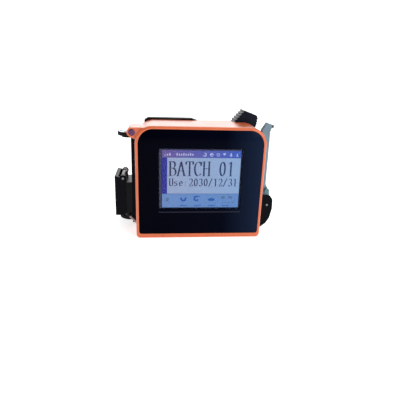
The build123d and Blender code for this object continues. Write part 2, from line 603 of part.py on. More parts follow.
def make_plate_screws():
    screws = []
    for y, z in PLATE_SCREW_PLACES:
        screw = rod_x(y, z, PLATE_SCREW, PLATE_X + 1, -INNER_X)
        screw += rod_x(y, z, PLATE_SCREW_HEAD, PLATE_X, PLATE_X + 1.2)
        screw -= rod_x(y, z, 0.9, PLATE_X - 1, PLATE_X + 0.7)
        screws.append(screw)
    return Compound(children=screws)


NOSE_FOOT = LOWER_SHELF + SHELF + WHEEL_THICKNESS + 1.0
EAR_RADIUS = 2.3
EAR_WIDTH = 4.0


def make_nose_housing():
    side = outline([(HOUSING_X, NOSE_FOOT + 2), (PLATE_X, NOSE_FOOT), (PLATE_X, HOUSING_TOP),
                    (HOUSING_X, HOUSING_TOP)])
    housing = slab(side, HOUSING_Y, HOUSING_BACK_Y)
    for y in (HOUSING_Y, HOUSING_BACK_Y - EAR_WIDTH):
        ear = block(HINGE_X - EAR_RADIUS, HINGE_X + EAR_RADIUS, y, y + EAR_WIDTH, HOUSING_TOP - 1, HINGE_Z)
        housing += ear + rod_y(HINGE_X, HINGE_Z, EAR_RADIUS, y, y + EAR_WIDTH)
    housing -= rod_y(HINGE_X, HINGE_Z, PIN_RADIUS, HOUSING_Y - 1, HOUSING_BACK_Y + 1)
    housing -= snout_window(NOZZLE_X - 0.5, PLATE_X + 1, 0.5)
    return housing - snout_window(HOUSING_X - 1, NOZZLE_X, -0.8)


CAP_EAR_RADIUS = 2.6


def make_nozzle_cap():
    top = HINGE_Z + 2.0
    cheek = outline([(CAP_X, CAP_FOOT), (CAP_X + 7.0, CAP_FOOT), (CAP_X + 7.9, CAP_FOOT + 2.0),
                     (CAP_X + 7.9, HINGE_Z), (CAP_X, top)])
    cheek += Pos(HINGE_X, HINGE_Z) * Circle(CAP_EAR_RADIUS)
    hull = slab(cheek, NOSE_Y, NOSE_BACK_Y)
    hull -= block(CAP_X + CAP_WALL, HINGE_X + 10, NOSE_Y + CAP_CHEEK, NOSE_BACK_Y - CAP_CHEEK,
                  CAP_FOOT + 1.4, top - 1.4)
    hull -= block(CAP_X + 2.7, HINGE_X + 10, NOSE_Y + CAP_CHEEK, NOSE_BACK_Y - CAP_CHEEK, 0, HINGE_Z + 10)
    hull -= rod_y(HINGE_X, HINGE_Z, PIN_RADIUS + FIT, NOSE_Y - 1, NOSE_BACK_Y + 1)
    face = hull.faces().sort_by(Axis.X)[0]
    return fillet(face.edges(), 0.5)


def make_cap_seal():
    x0, x1 = CAP_X + CAP_WALL, HOUSING_X - GAP
    ring = block(x0, x1, SNOUT_Y + 1, SNOUT_BACK_Y - 1, SNOUT_FOOT + 0.5, SNOUT_TOP - 0.5)
    return ring - block(x0 + 0.3, x1 + 1, SNOUT_Y + 2.5, SNOUT_BACK_Y - 2.5, SNOUT_FOOT + 2, SNOUT_TOP - 2)


def make_cap_pin():
    return rod_y(HINGE_X, HINGE_Z, PIN_RADIUS, NOSE_Y - 0.3, NOSE_BACK_Y + 0.3)


def make_cap_spring():
    return tube_y(HINGE_X, HINGE_Z, 2.2, 1.4, HOUSING_Y + EAR_WIDTH + 0.4, HOUSING_BACK_Y - EAR_WIDTH - 0.4)


def make_wheel_hub(shelf):
    z0 = shelf + SHELF + 0.3
    hub = rod_z(WHEEL_X, WHEEL_Y, WHEEL_RADIUS - TYRE, z0, z0 + WHEEL_THICKNESS)
    hub -= rod_z(WHEEL_X, WHEEL_Y, AXLE_RADIUS + FIT, z0 - 1, z0 + WHEEL_THICKNESS + 1)
    return hub - rod_z(WHEEL_X, WHEEL_Y, 2.6, z0 + WHEEL_THICKNESS - 0.9, z0 + WHEEL_THICKNESS + 1)


def make_wheel_tyre(shelf):
    z0 = shelf + SHELF + 0.3
    tyre = rod_z(WHEEL_X, WHEEL_Y, WHEEL_RADIUS, z0, z0 + WHEEL_THICKNESS)
    tyre = fillet(tyre.edges(), 0.4)
    return tyre - rod_z(WHEEL_X, WHEEL_Y, WHEEL_RADIUS - TYRE, z0 - 1, z0 + WHEEL_THICKNESS + 1)


def make_axle_screw(shelf):
    seat = shelf + SHELF
    top = seat + 0.3 + WHEEL_THICKNESS
    screw = rod_z(WHEEL_X, WHEEL_Y, 1.0, shelf, seat)
    screw += rod_z(WHEEL_X, WHEEL_Y, AXLE_RADIUS, seat, top - 0.6)
    screw += rod_z(WHEEL_X, WHEEL_Y, 2.2, top - 0.6, top)
    return screw - rod_z(WHEEL_X, WHEEL_Y, 0.8, top - 0.4, top + 1)


def make_wheel_guard():
    high, low = (PLATE_X - 2.6, NOSE_FOOT - 0.7), (PLATE_X + 2.8, LOWER_SHELF - 1.3)
    strap = outline([high, (high[0] + 1.2, high[1] + 0.7), (low[0] + 1.1, low[1] + 0.8), low])
    return slab(strap, PLATE_Y - 1.8, PLATE_Y - 1.0)


def make_lug_screw():
    seat = LUG_Y + LUG_SCREW_SINK
    screw = rod_y(LUG_X, LUG_Z, LUG_SCREW, seat, LUG_BACK_Y - 2)
    screw += rod_y(LUG_X, LUG_Z, LUG_SCREW_HEAD, seat - 1.6, seat)
    return screw - rod_y(LUG_X, LUG_Z, 1.0, LUG_Y - 1, seat - 0.9)


def make_encoder_sensor():
    z0 = UPPER_SHELF + SHELF
    x0 = max(-INNER_X + 0.4, WHEEL_X + WHEEL_RADIUS + GAP + 0.3)
    return block(x0, x0 + 2.6, WHEEL_Y - 2, WHEEL_Y + 2, z0 - 1.5, z0 + 1.5)


# ---------------------------------------------------------------- latch
def make_bracket():
    cheek = outline([(SIDE_X, 0), (PIVOT_X - 3.9, 0), (PIVOT_X + 0.3, 3.2), (PIVOT_X + 3.1, 7.8),
                     (PIVOT_X + 4.7, 15.5), (PIVOT_X + 4.5, 23.4), (PIVOT_X + 2.2, 26.7),
                     (SIDE_X, MOUTH_FOOT)])
    cheek = fillet(cheek.vertices().sort_by(Axis.X)[-5:], 2.4)
    front = slab(cheek, CHEEK_Y, CHEEK_Y + CHEEK_THICKNESS)
    rear = slab(cheek, BACK_CHEEK_Y, BACK_CHEEK_Y + CHEEK_THICKNESS)
    bracket = chamfer(front.faces().sort_by(Axis.Y)[0].edges(), EDGE)
    bracket += chamfer(rear.faces().sort_by(Axis.Y)[-1].edges(), EDGE)
    bracket += block(SIDE_X, SIDE_X + WEB_THICKNESS, CHEEK_Y, BACK_CHEEK_Y + CHEEK_THICKNESS, 1.0, MOUTH_FOOT - 0.5)
    bracket -= rod_y(PIVOT_X, PIVOT_Z, PIN_RADIUS, CHEEK_Y - 1, BACK_CHEEK_Y + CHEEK_THICKNESS + 1)
    for y, z in BRACKET_SCREW_PLACES:
        bracket -= rod_x(y, z, BRACKET_SCREW, SIDE_X - 1, SIDE_X + WEB_THICKNESS + 1)
    return bracket


BACK_ARM_Y = ARM_Y + LEVER_WIDTH - 2 * (CHEEK_THICKNESS + GAP) - ARM_THICKNESS
BACK_CHEEK_Y = BACK_ARM_Y + ARM_THICKNESS + GAP
LEVER_FOOT = PIVOT_Z + 15.0
LEVER_X = SIDE_X + 0.95
LEVER_FACE_X = SIDE_X + 7.5
TAB_X = SIDE_X + 9.3
TAB_Z = LEVER_TOP - 1.8
TAB_WIDTH = 4.5
HUB_RADIUS = 3.4


def tip_block():
    """Soft corner block at the outer end of the lever's tab."""
    return block(TAB_X - 0.8, TAB_X + 0.4, LEVER_Y - 0.1, LEVER_Y + TAB_WIDTH, TAB_Z - 2.0, TAB_Z + 0.1)


def make_lever():
    side = outline([(LEVER_X, LEVER_FOOT), (LEVER_X, CASE_HEIGHT - 4.7), (SIDE_X + 4.4, LEVER_TOP),
                    (TAB_X, TAB_Z), (LEVER_FACE_X, CASE_HEIGHT - 5.6), (LEVER_FACE_X, LEVER_FOOT)])
    lever = slab(side, LEVER_Y, LEVER_BACK_Y)
    lever -= block(LEVER_X - 1, TAB_X + 1, LEVER_Y + TAB_WIDTH, LEVER_BACK_Y + 1, CASE_HEIGHT - 9, LEVER_TOP + 1)
    lever = chamfer(lever.faces().sort_by(Axis.Y)[0].edges(), EDGE)
    lever -= tip_block()
    lever -= block(LEVER_X - 1, LEVER_FACE_X - LEVER_WALL, LEVER_Y + LEVER_WALL, LEVER_BACK_Y - LEVER_WALL,
                   LEVER_FOOT - 1, CASE_HEIGHT - 11)
    for y in (ARM_Y, BACK_ARM_Y):
        arm = outline([(PIVOT_X - HUB_RADIUS, PIVOT_Z), (LEVER_X + 1, LEVER_FOOT + 3), (LEVER_FACE_X, LEVER_FOOT + 3),
                       (PIVOT_X + 1.7, PIVOT_Z + 10), (PIVOT_X + HUB_RADIUS, PIVOT_Z)])
        arm += Pos(PIVOT_X, PIVOT_Z) * Circle(HUB_RADIUS)
        lever += slab(arm, y, y + ARM_THICKNESS)
    lever -= rod_y(PIVOT_X, PIVOT_Z, PIN_RADIUS + FIT, LEVER_Y - 1, LEVER_BACK_Y + 1)
    return lever - rod_y(CROSS_PIN_X, CROSS_PIN_Z, CROSS_PIN_RADIUS, LEVER_Y, LEVER_BACK_Y)


CROSS_PIN_X = PIVOT_X - 0.8
CROSS_PIN_Z = PIVOT_Z + 11.6
CROSS_PIN_RADIUS = 1.85


def make_cross_pin():
    return rod_y(CROSS_PIN_X, CROSS_PIN_Z, CROSS_PIN_RADIUS, LEVER_Y, LEVER_BACK_Y)


def make_latch_pad():
    mid = (TAIL_FOOT + TANK_TOP) / 2 + 8
    pad = block(TAIL_X + GAP, LEVER_FACE_X - LEVER_WALL, CARTRIDGE_MID_Y - 5, CARTRIDGE_MID_Y + 5, mid - 6, mid + 6)
    return chamfer(pad.faces().sort_by(Axis.X)[0].edges(), 1.0)


def make_latch_tip():
    return chamfer(tip_block().edges().filter_by(Axis.Y), 0.2)


def make_pivot_pin():
    return rod_y(PIVOT_X, PIVOT_Z, PIN_RADIUS, CHEEK_Y - 0.3, BACK_CHEEK_Y + CHEEK_THICKNESS + 0.3)


def make_latch_spring():
    return tube_y(PIVOT_X, PIVOT_Z, 2.3, 1.5, ARM_Y + ARM_THICKNESS + 0.5, BACK_ARM_Y - 0.5)


def make_bracket_screws():
    screws = []
    for y, z in BRACKET_SCREW_PLACES:
        face = SIDE_X + WEB_THICKNESS
        screw = rod_x(y, z, BRACKET_SCREW, INNER_X, face + 0.2)
        screw += rod_x(y, z, 1.9, face, face + 1.2)
        screw -= rod_x(y, z, 0.7, face + 0.6, face + 2)
        screws.append(screw)
    return Compound(children=screws)


# ---------------------------------------------------------------- print trigger
def make_trigger():
    top = CASE_HEIGHT + 1.3
    side = outline([(TRIGGER_X, FLANGE_TOP), (TRIGGER_X, top - 1.7), (TRIGGER_X + 2.7, top),
                    (TRIGGER_END_X - 5, top), (TRIGGER_END_X, top - 1.7), (TRIGGER_END_X, FLANGE_TOP)])
    bar = slab(side, TRIGGER_Y, TRIGGER_BACK_Y)
    bar = fillet(bar.faces().sort_by(Axis.Z)[-1].edges(), 0.6)
    flange = block(TRIGGER_X + 5, TRIGGER_END_X - 5, TRIGGER_Y, TRIGGER_BACK_Y + 1.2, FLANGE_TOP - 1.4, FLANGE_TOP)
    return bar + flange


TRIGGER_MID_Y = (TRIGGER_Y + TRIGGER_BACK_Y) / 2


def make_trigger_board():
    return block(TRIGGER_X + 4, TRIGGER_END_X - 4, TRIGGER_Y, BAY_BACK_Y - 2, TRIGGER_BOARD_Z, TRIGGER_BOARD_Z + 1)


def make_trigger_switches():
    middle = (TRIGGER_X + TRIGGER_END_X) / 2
    foot = TRIGGER_BOARD_Z + 1
    top = FLANGE_TOP - 1.4 - TRIGGER_TRAVEL - GAP
    switches = []
    for x in (middle - 4, middle + 4):
        body = block(x - 3, x + 3, TRIGGER_MID_Y - 3, TRIGGER_MID_Y + 3, foot, top - 0.8)
        switches.append(body + rod_z(x, TRIGGER_MID_Y, 1.5, foot, top))
    return Compound(children=switches)


def make_trigger_springs():
    springs = []
    for x in (TRIGGER_X + 9, TRIGGER_END_X - 9):
        tube = rod_z(x, TRIGGER_MID_Y, 2.2, TRIGGER_BOARD_Z + 1, FLANGE_TOP - 1.4)
        springs.append(tube - rod_z(x, TRIGGER_MID_Y, 1.5, TRIGGER_BOARD_Z, FLANGE_TOP))
    return Compound(children=springs)


# ---------------------------------------------------------------- every node
nodes = {
    "front_shell": make_front_shell(),
    "rear_shell": make_rear_shell(),
    "case_screws": make_case_screws(),
    "cover_glass": make_glass(),
    "glass_mask": make_mask(),
    "screen_gasket": make_gasket(),
    "lcd_frame": make_lcd_frame(),
    "lcd_panel": make_lcd_panel(),
    "lcd_flex": make_lcd_flex(),
    "main_board": make_board(),
    "processor_chip": block(10, 24, BOARD_BACK_Y, BOARD_BACK_Y + 1.2, CASE_HEIGHT - 24, CASE_HEIGHT - 10),
    "board_parts": make_board_parts(),
    "battery_pack": block(BATTERY_X, BATTERY_X + BATTERY_WIDTH, PARTITION_Y - BATTERY_THICKNESS - 0.4,
                          PARTITION_Y - 0.4, BATTERY_Z, BATTERY_Z + BATTERY_HEIGHT),
    "beeper": rod_y(-33, CASE_HEIGHT - 23, 4.5, BOARD_BACK_Y, BOARD_BACK_Y + 4),
    "usb_port": make_usb_port(),
    "charge_port": make_charge_port(),
    "power_button": make_power_button(),
    "power_switch": make_power_switch(),
    "partition": make_partition(),
    "partition_screws": make_partition_screws(),
    "cartridge_cradle": make_cradle(),
    "contact_block": make_contact_block(),
    "contact_pins": make_contact_pins(),
    "contact_flex": make_contact_flex(),
    "cartridge_body": make_cartridge_body(),
    "ink_foam": make_ink_foam(),
    "cartridge_lid": make_cartridge_lid(),
    "cartridge_grip": make_grip(),
    "nozzle_plate": make_nozzle_plate(),
    "cartridge_pads": make_cartridge_pads(),
    "side_plate": make_side_plate(),
    "plate_screws": make_plate_screws(),
    "nose_housing": make_nose_housing(),
    "nozzle_cap": make_nozzle_cap(),
    "cap_seal": make_cap_seal(),
    "cap_hinge_pin": make_cap_pin(),
    "cap_spring": make_cap_spring(),
    "upper_wheel_hub": make_wheel_hub(UPPER_SHELF),
    "upper_wheel_tyre": make_wheel_tyre(UPPER_SHELF),
    "upper_axle_screw": make_axle_screw(UPPER_SHELF),
    "lower_wheel_hub": make_wheel_hub(LOWER_SHELF),
    "lower_wheel_tyre": make_wheel_tyre(LOWER_SHELF),
    "lower_axle_screw": make_axle_screw(LOWER_SHELF),
    "wheel_guard": make_wheel_guard(),
    "lug_screw": make_lug_screw(),
    "encoder_sensor": make_encoder_sensor(),
    "latch_bracket": make_bracket(),
    "bracket_screws": make_bracket_screws(),
    "latch_lever": make_lever(),
    "latch_cross_pin": make_cross_pin(),
    "latch_pad": make_latch_pad(),
    "latch_tip": make_latch_tip(),
    "latch_pivot_pin": make_pivot_pin(),
    "latch_spring": make_latch_spring(),
    "print_trigger": make_trigger(),
    "trigger_board": make_trigger_board(),
    "trigger_switches": make_trigger_switches(),
    "trigger_springs": make_trigger_springs(),
}

os.makedirs("parts", exist_ok=True)
for name, shape in nodes.items():
    export_step(shape, f"parts/{name}.step")
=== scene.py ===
# %% [markdown]
# # A handheld date code inkjet printer
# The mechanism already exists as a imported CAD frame. This lesson gives every piece its finish, and
# models the small things that a solid modeller leaves out: coil springs, socket screws, treaded
# guide wheels, and the picture on the lit screen.
# Everything is in metres, in the frame's own axes: +X to the reader's right, +Y away from the
# reader and +Z up, with the origin in the middle of the flat base.

# %% Load the frame
import json
from math import cos, pi, radians, sin

import bmesh
import bpy
from mathutils import Matrix, Vector


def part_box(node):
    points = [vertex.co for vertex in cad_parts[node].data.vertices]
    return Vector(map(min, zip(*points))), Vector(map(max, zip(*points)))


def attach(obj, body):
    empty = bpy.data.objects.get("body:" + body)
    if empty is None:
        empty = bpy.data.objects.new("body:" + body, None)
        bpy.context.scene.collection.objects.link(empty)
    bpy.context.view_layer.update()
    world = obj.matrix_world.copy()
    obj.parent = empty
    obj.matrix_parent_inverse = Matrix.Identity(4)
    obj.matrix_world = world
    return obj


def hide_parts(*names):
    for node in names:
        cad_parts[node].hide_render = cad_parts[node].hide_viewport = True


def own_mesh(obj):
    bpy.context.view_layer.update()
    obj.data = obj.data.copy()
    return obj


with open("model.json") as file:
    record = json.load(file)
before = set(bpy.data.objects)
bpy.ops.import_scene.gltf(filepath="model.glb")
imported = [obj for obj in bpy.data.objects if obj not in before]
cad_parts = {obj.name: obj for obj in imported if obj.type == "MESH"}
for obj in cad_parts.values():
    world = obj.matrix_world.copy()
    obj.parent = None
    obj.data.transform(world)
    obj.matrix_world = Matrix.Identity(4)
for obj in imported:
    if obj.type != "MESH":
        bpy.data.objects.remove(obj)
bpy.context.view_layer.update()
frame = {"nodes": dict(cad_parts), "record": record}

MM = 0.001

# %% [markdown]
# ## Camera
# A short lens held about 30 cm away, a little to the left and looking down by 19 degrees, shows the
# face, the top and the left-hand print side together. The hand that holds the real thing tips it by
# two degrees, and the third row of the matrix carries that tip. Writing the camera's three axes as
# matrix columns is the direct way: no aiming constraint is needed.

# %% Camera
LENS = 34.9
SENSOR = 36.0
CAMERA_PLACE = Vector((-0.02995, -0.2908, 0.1217))
CAMERA_RIGHT = Vector((0.9944, -0.1004, 0.0331))
CAMERA_UP = Vector((0.0014, 0.3257, 0.9455))


def make_camera():
    """Camera at its place, with its axes given as columns."""
    data = bpy.data.cameras.new("camera")
    data.lens = LENS
    data.sensor_width = SENSOR
    camera = bpy.data.objects.new("camera", data)
    right = CAMERA_RIGHT.normalized()
    back = right.cross(CAMERA_UP).normalized()
    up = back.cross(right)
    turn = Matrix((right, up, back)).transposed().to_4x4()
    camera.matrix_world = Matrix.Translation(CAMERA_PLACE) @ turn
    bpy.context.scene.collection.objects.link(camera)
    bpy.context.scene.camera = camera
    return camera


camera = make_camera()
print("camera height:", round(camera.matrix_world.translation.z, 4))

# %% [markdown]
# ## Floor and light
# A product on white needs broad, soft light. A low panel behind the object is mirrored in the faces
# that point up, which makes them pale. One panel at the front right fills the orange rim, a weak one
# at the left draws the left-hand edges, and a small one hangs overhead. The surroundings look white
# but light the scene at about a third of that strength: the Light Path node tells a ray from the
# camera from every other ray, and it keeps the black plastic from going grey. The floor glows as
# well, so that it stays as white as the rest and only a soft shadow shows under the object.

# %% Helpers for node trees
def new_material(name):
    """Empty node material with a Principled shader, returned as (material, tree, shader)."""
    material = bpy.data.materials.new(name)
    material.use_nodes = True
    tree = material.node_tree
    return material, tree, tree.nodes["Principled BSDF"]


def add_node(tree, kind, **values):
    """New node of that kind. Names that are inputs set the input, the others set an attribute."""
    node = tree.nodes.new(kind)
    for key, value in values.items():
        label = key.replace("_", " ").title()
        if label in node.inputs:
            node.inputs[label].default_value = value
        else:
            setattr(node, key, value)
    return node


def object_place(tree):
    """Place on the piece, in metres."""
    return tree.nodes.new("ShaderNodeTexCoord").outputs["Object"]


print("node tree helpers:", new_material.__name__, add_node.__name__, object_place.__name__)

# %% Floor, surroundings and light panels
FLOOR_SIZE = 6.0
FLOOR_GLOW = 0.64
SEEN_WHITE = 1.15
FILL_LIGHT = 0.42


def make_floor():
    """Large pale sheet, a little uneven in tone so that it looks like paper."""
    shape = bmesh.new()
    bmesh.ops.create_grid(shape, x_segments=1, y_segments=1, size=FLOOR_SIZE / 2)
    mesh = bpy.data.meshes.new("floor")
    shape.to_mesh(mesh)
    shape.free()
    floor = bpy.data.objects.new("floor", mesh)
    bpy.context.scene.collection.objects.link(floor)
    material, tree, shader = new_material("pale_paper")
    noise = add_node(tree, "ShaderNodeTexNoise", scale=40.0, detail=4.0)
    tree.links.new(object_place(tree), noise.inputs["Vector"])
    ramp = add_node(tree, "ShaderNodeValToRGB")
    ramp.color_ramp.elements[0].color = (0.86, 0.86, 0.87, 1)
    ramp.color_ramp.elements[1].color = (0.9, 0.9, 0.9, 1)
    tree.links.new(noise.outputs["Fac"], ramp.inputs["Fac"])
    tree.links.new(ramp.outputs["Color"], shader.inputs["Base Color"])
    shader.inputs["Roughness"].default_value = 0.9
    shader.inputs["Specular IOR Level"].default_value = 0.1
    shader.inputs["Emission Color"].default_value = (1, 1, 1, 1)
    shader.inputs["Emission Strength"].default_value = FLOOR_GLOW
    mesh.materials.append(material)
    return floor


def light_panel(name, place, target, width, height, power, colour=(1.0, 1.0, 1.0)):
    """Rectangular soft light at a place, facing a target."""
    data = bpy.data.lights.new(name, "AREA")
    data.shape = "RECTANGLE"
    data.size = width
    data.size_y = height
    data.energy = power
    data.color = colour
    panel = bpy.data.objects.new(name, data)
    aim = (Vector(target) - Vector(place)).to_track_quat("-Z", "Y")
    panel.matrix_world = Matrix.Translation(Vector(place)) @ aim.to_matrix().to_4x4()
    bpy.context.scene.collection.objects.link(panel)
    return panel


def make_surroundings():
    """Surroundings that look white and light the scene more weakly."""
    world = bpy.data.worlds.new("surroundings")
    bpy.context.scene.world = world
    world.use_nodes = True
    tree = world.node_tree
    path = add_node(tree, "ShaderNodeLightPath")
    strength = add_node(tree, "ShaderNodeMapRange")
    strength.inputs["To Min"].default_value = FILL_LIGHT
    strength.inputs["To Max"].default_value = SEEN_WHITE
    tree.links.new(path.outputs["Is Camera Ray"], strength.inputs["Value"])
    tree.links.new(strength.outputs["Result"], tree.nodes["Background"].inputs["Strength"])
    tree.nodes["Background"].inputs["Color"].default_value = (1, 1, 1, 1)


make_floor()
make_surroundings()
# name, place, target, width, height and power in watts
light_panel("overhead", (0.1, 0.15, 0.8), (0, 0.02, 0.05), 0.5, 0.5, 2.6)
light_panel("low_behind", (0.05, 1.2, 0.46), (0, 0, 0.08), 1.4, 0.55, 4.6)
light_panel("front_right", (0.55, -0.7, 0.42), (0, 0, 0.05), 0.6, 0.6, 4.9)
light_panel("left_edge", (-1.1, 0.05, 0.05), (0, 0, 0.06), 0.4, 0.5, 3.0)
bpy.context.scene.view_settings.view_transform = "Standard"

# %% [markdown]
# ## Finishes
# Real moulded plastic is never one flat colour: the mould leaves a fine spark-eroded grain, the
# gloss drifts over a few millimetres, and the colour with it. Machined and pressed metal shows
# fine parallel lines. Two recipes cover nearly everything here, and each takes only a few numbers.
# Both read Object coordinates, so the grain has a real size and stays put on the piece.

# %% Moulded finish
def moulded(name, colour, roughness, grain=0.25, depth=0.02, drift=0.08, gloss_drift=0.06, shine=0.5,
             coat=0.0):
    """Moulded plastic, rubber or paint: grain is its size in mm and depth the bump in mm."""
    material, tree, shader = new_material(name)
    place = object_place(tree)
    fine = add_node(tree, "ShaderNodeTexNoise", scale=1.0 / (grain * MM), detail=3.0, roughness=0.6)
    broad = add_node(tree, "ShaderNodeTexNoise", scale=140.0, detail=3.0)
    tree.links.new(place, fine.inputs["Vector"])
    tree.links.new(place, broad.inputs["Vector"])
    bump = add_node(tree, "ShaderNodeBump", strength=0.6, distance=depth * MM)
    tree.links.new(fine.outputs["Fac"], bump.inputs["Height"])
    tree.links.new(bump.outputs["Normal"], shader.inputs["Normal"])
    tones = add_node(tree, "ShaderNodeValToRGB")
    tones.color_ramp.elements[0].position = 0.3
    tones.color_ramp.elements[1].position = 0.7
    tones.color_ramp.elements[0].color = tuple(c * (1 - drift) for c in colour) + (1,)
    tones.color_ramp.elements[1].color = tuple(min(c * (1 + drift), 1) for c in colour) + (1,)
    tree.links.new(broad.outputs["Fac"], tones.inputs["Fac"])
    tree.links.new(tones.outputs["Color"], shader.inputs["Base Color"])
    gloss = add_node(tree, "ShaderNodeMapRange")
    gloss.inputs["To Min"].default_value = roughness - gloss_drift
    gloss.inputs["To Max"].default_value = roughness + gloss_drift
    tree.links.new(broad.outputs["Fac"], gloss.inputs["Value"])
    tree.links.new(gloss.outputs["Result"], shader.inputs["Roughness"])
    shader.inputs["Specular IOR Level"].default_value = shine
    shader.inputs["Coat Weight"].default_value = coat
    shader.inputs["Coat Roughness"].default_value = 0.2
    return material


print("recipe:", moulded.__name__)

# %% Brushed finish
def brushed(name, colour, roughness, along="Y", line=0.12, depth=0.004, drift=0.12):
    """Brushed or drawn metal: line is the width of the marks in mm, which run along one axis."""
    material, tree, shader = new_material(name)
    place = object_place(tree)
    fine = 1.0 / (line * MM)
    stretch = {axis: fine for axis in "XYZ"}
    stretch[along] = fine / 40
    mapping = add_node(tree, "ShaderNodeMapping")
    mapping.inputs["Scale"].default_value = (stretch["X"], stretch["Y"], stretch["Z"])
    marks = add_node(tree, "ShaderNodeTexNoise", scale=1.0, detail=4.0, roughness=0.7)
    tree.links.new(place, mapping.inputs["Vector"])
    tree.links.new(mapping.outputs["Vector"], marks.inputs["Vector"])
    bump = add_node(tree, "ShaderNodeBump", strength=0.5, distance=depth * MM)
    tree.links.new(marks.outputs["Fac"], bump.inputs["Height"])
    tree.links.new(bump.outputs["Normal"], shader.inputs["Normal"])
    tones = add_node(tree, "ShaderNodeValToRGB")
    tones.color_ramp.elements[0].position = 0.35
    tones.color_ramp.elements[1].position = 0.65
    tones.color_ramp.elements[0].color = tuple(c * (1 - drift) for c in colour) + (1,)
    tones.color_ramp.elements[1].color = tuple(min(c * (1 + drift), 1) for c in colour) + (1,)
    tree.links.new(marks.outputs["Fac"], tones.inputs["Fac"])
    tree.links.new(tones.outputs["Color"], shader.inputs["Base Color"])
    gloss = add_node(tree, "ShaderNodeMapRange")
    gloss.inputs["To Min"].default_value = roughness - 0.08
    gloss.inputs["To Max"].default_value = roughness + 0.08
    tree.links.new(marks.outputs["Fac"], gloss.inputs["Value"])
    tree.links.new(gloss.outputs["Result"], shader.inputs["Roughness"])
    shader.inputs["Metallic"].default_value = 1.0
    return material


print("recipe:", brushed.__name__)

# %% [markdown]
# ## Cover glass
# The front pane is glass with a black border printed on its back. Seen from outside, the border and
# the glass are one deep, smooth, blue-black sheet, so one finish stands for both. Its colour eases
# from black to navy towards the right, and that navy is a painted reflection. Only the window over
# the picture is clear. It is nearly transparent with a weak gloss, because a refracting shader would
# darken the picture behind it.

# %% Cover glass
def make_border_glass_painted_reflection():
    """Blue-black sheet with a painted reflection that turns it navy towards the right, and a few faint
    smears in its gloss.
    """
    material, tree, shader = new_material("border_glass")
    place = object_place(tree)
    split = add_node(tree, "ShaderNodeSeparateXYZ")
    tree.links.new(place, split.inputs["Vector"])
    across = add_node(tree, "ShaderNodeMapRange")
    across.inputs["From Min"].default_value = -30 * MM
    across.inputs["From Max"].default_value = 46 * MM
    tree.links.new(split.outputs["X"], across.inputs["Value"])
    # Painted reflection: the colour rises from blue-black to navy towards the right of the pane.
    tones = add_node(tree, "ShaderNodeValToRGB")
    tones.color_ramp.elements[0].color = (0.0003, 0.0004, 0.003, 1)
    tones.color_ramp.elements[1].color = (0.0065, 0.013, 0.034, 1)
    tones.color_ramp.elements.new(0.62).color = (0.0004, 0.001, 0.0055, 1)
    tree.links.new(across.outputs["Result"], tones.inputs["Fac"])
    tree.links.new(tones.outputs["Color"], shader.inputs["Base Color"])
    smear = add_node(tree, "ShaderNodeTexNoise", scale=45.0, detail=4.0)
    tree.links.new(place, smear.inputs["Vector"])
    gloss = add_node(tree, "ShaderNodeMapRange")
    gloss.inputs["To Min"].default_value = 0.1
    gloss.inputs["To Max"].default_value = 0.2
    tree.links.new(smear.outputs["Fac"], gloss.inputs["Value"])
    tree.links.new(gloss.outputs["Result"], shader.inputs["Roughness"])
    shader.inputs["Specular IOR Level"].default_value = 0.018
    return material


def make_window_glass():
    """Clear window: almost no body, and a weak gloss broken by faint smears."""
    material, tree, shader = new_material("window_glass")
    smear = add_node(tree, "ShaderNodeTexNoise", scale=60.0, detail=5.0)
    tree.links.new(object_place(tree), smear.inputs["Vector"])
    gloss = add_node(tree, "ShaderNodeMapRange")
    gloss.inputs["To Min"].default_value = 0.08
    gloss.inputs["To Max"].default_value = 0.2
    tree.links.new(smear.outputs["Fac"], gloss.inputs["Value"])
    tree.links.new(gloss.outputs["Result"], shader.inputs["Roughness"])
    shader.inputs["Base Color"].default_value = (0.01, 0.02, 0.06, 1)
    shader.inputs["Alpha"].default_value = 0.1
    shader.inputs["Specular IOR Level"].default_value = 0.3
    return material


WINDOW_GLASS = make_window_glass()
print("window glass:", WINDOW_GLASS.name)

# %% [markdown]
# ## A finish for every slot
# The record names a slot for every node, such as the orange of the front shell or the steel of a
# pin. Each slot gets one finish here. The blacks differ only a little in depth and gloss, but that
# is what tells a satin shell from a glossy cap or a dull tyre. Colours are linear red, green, blue.

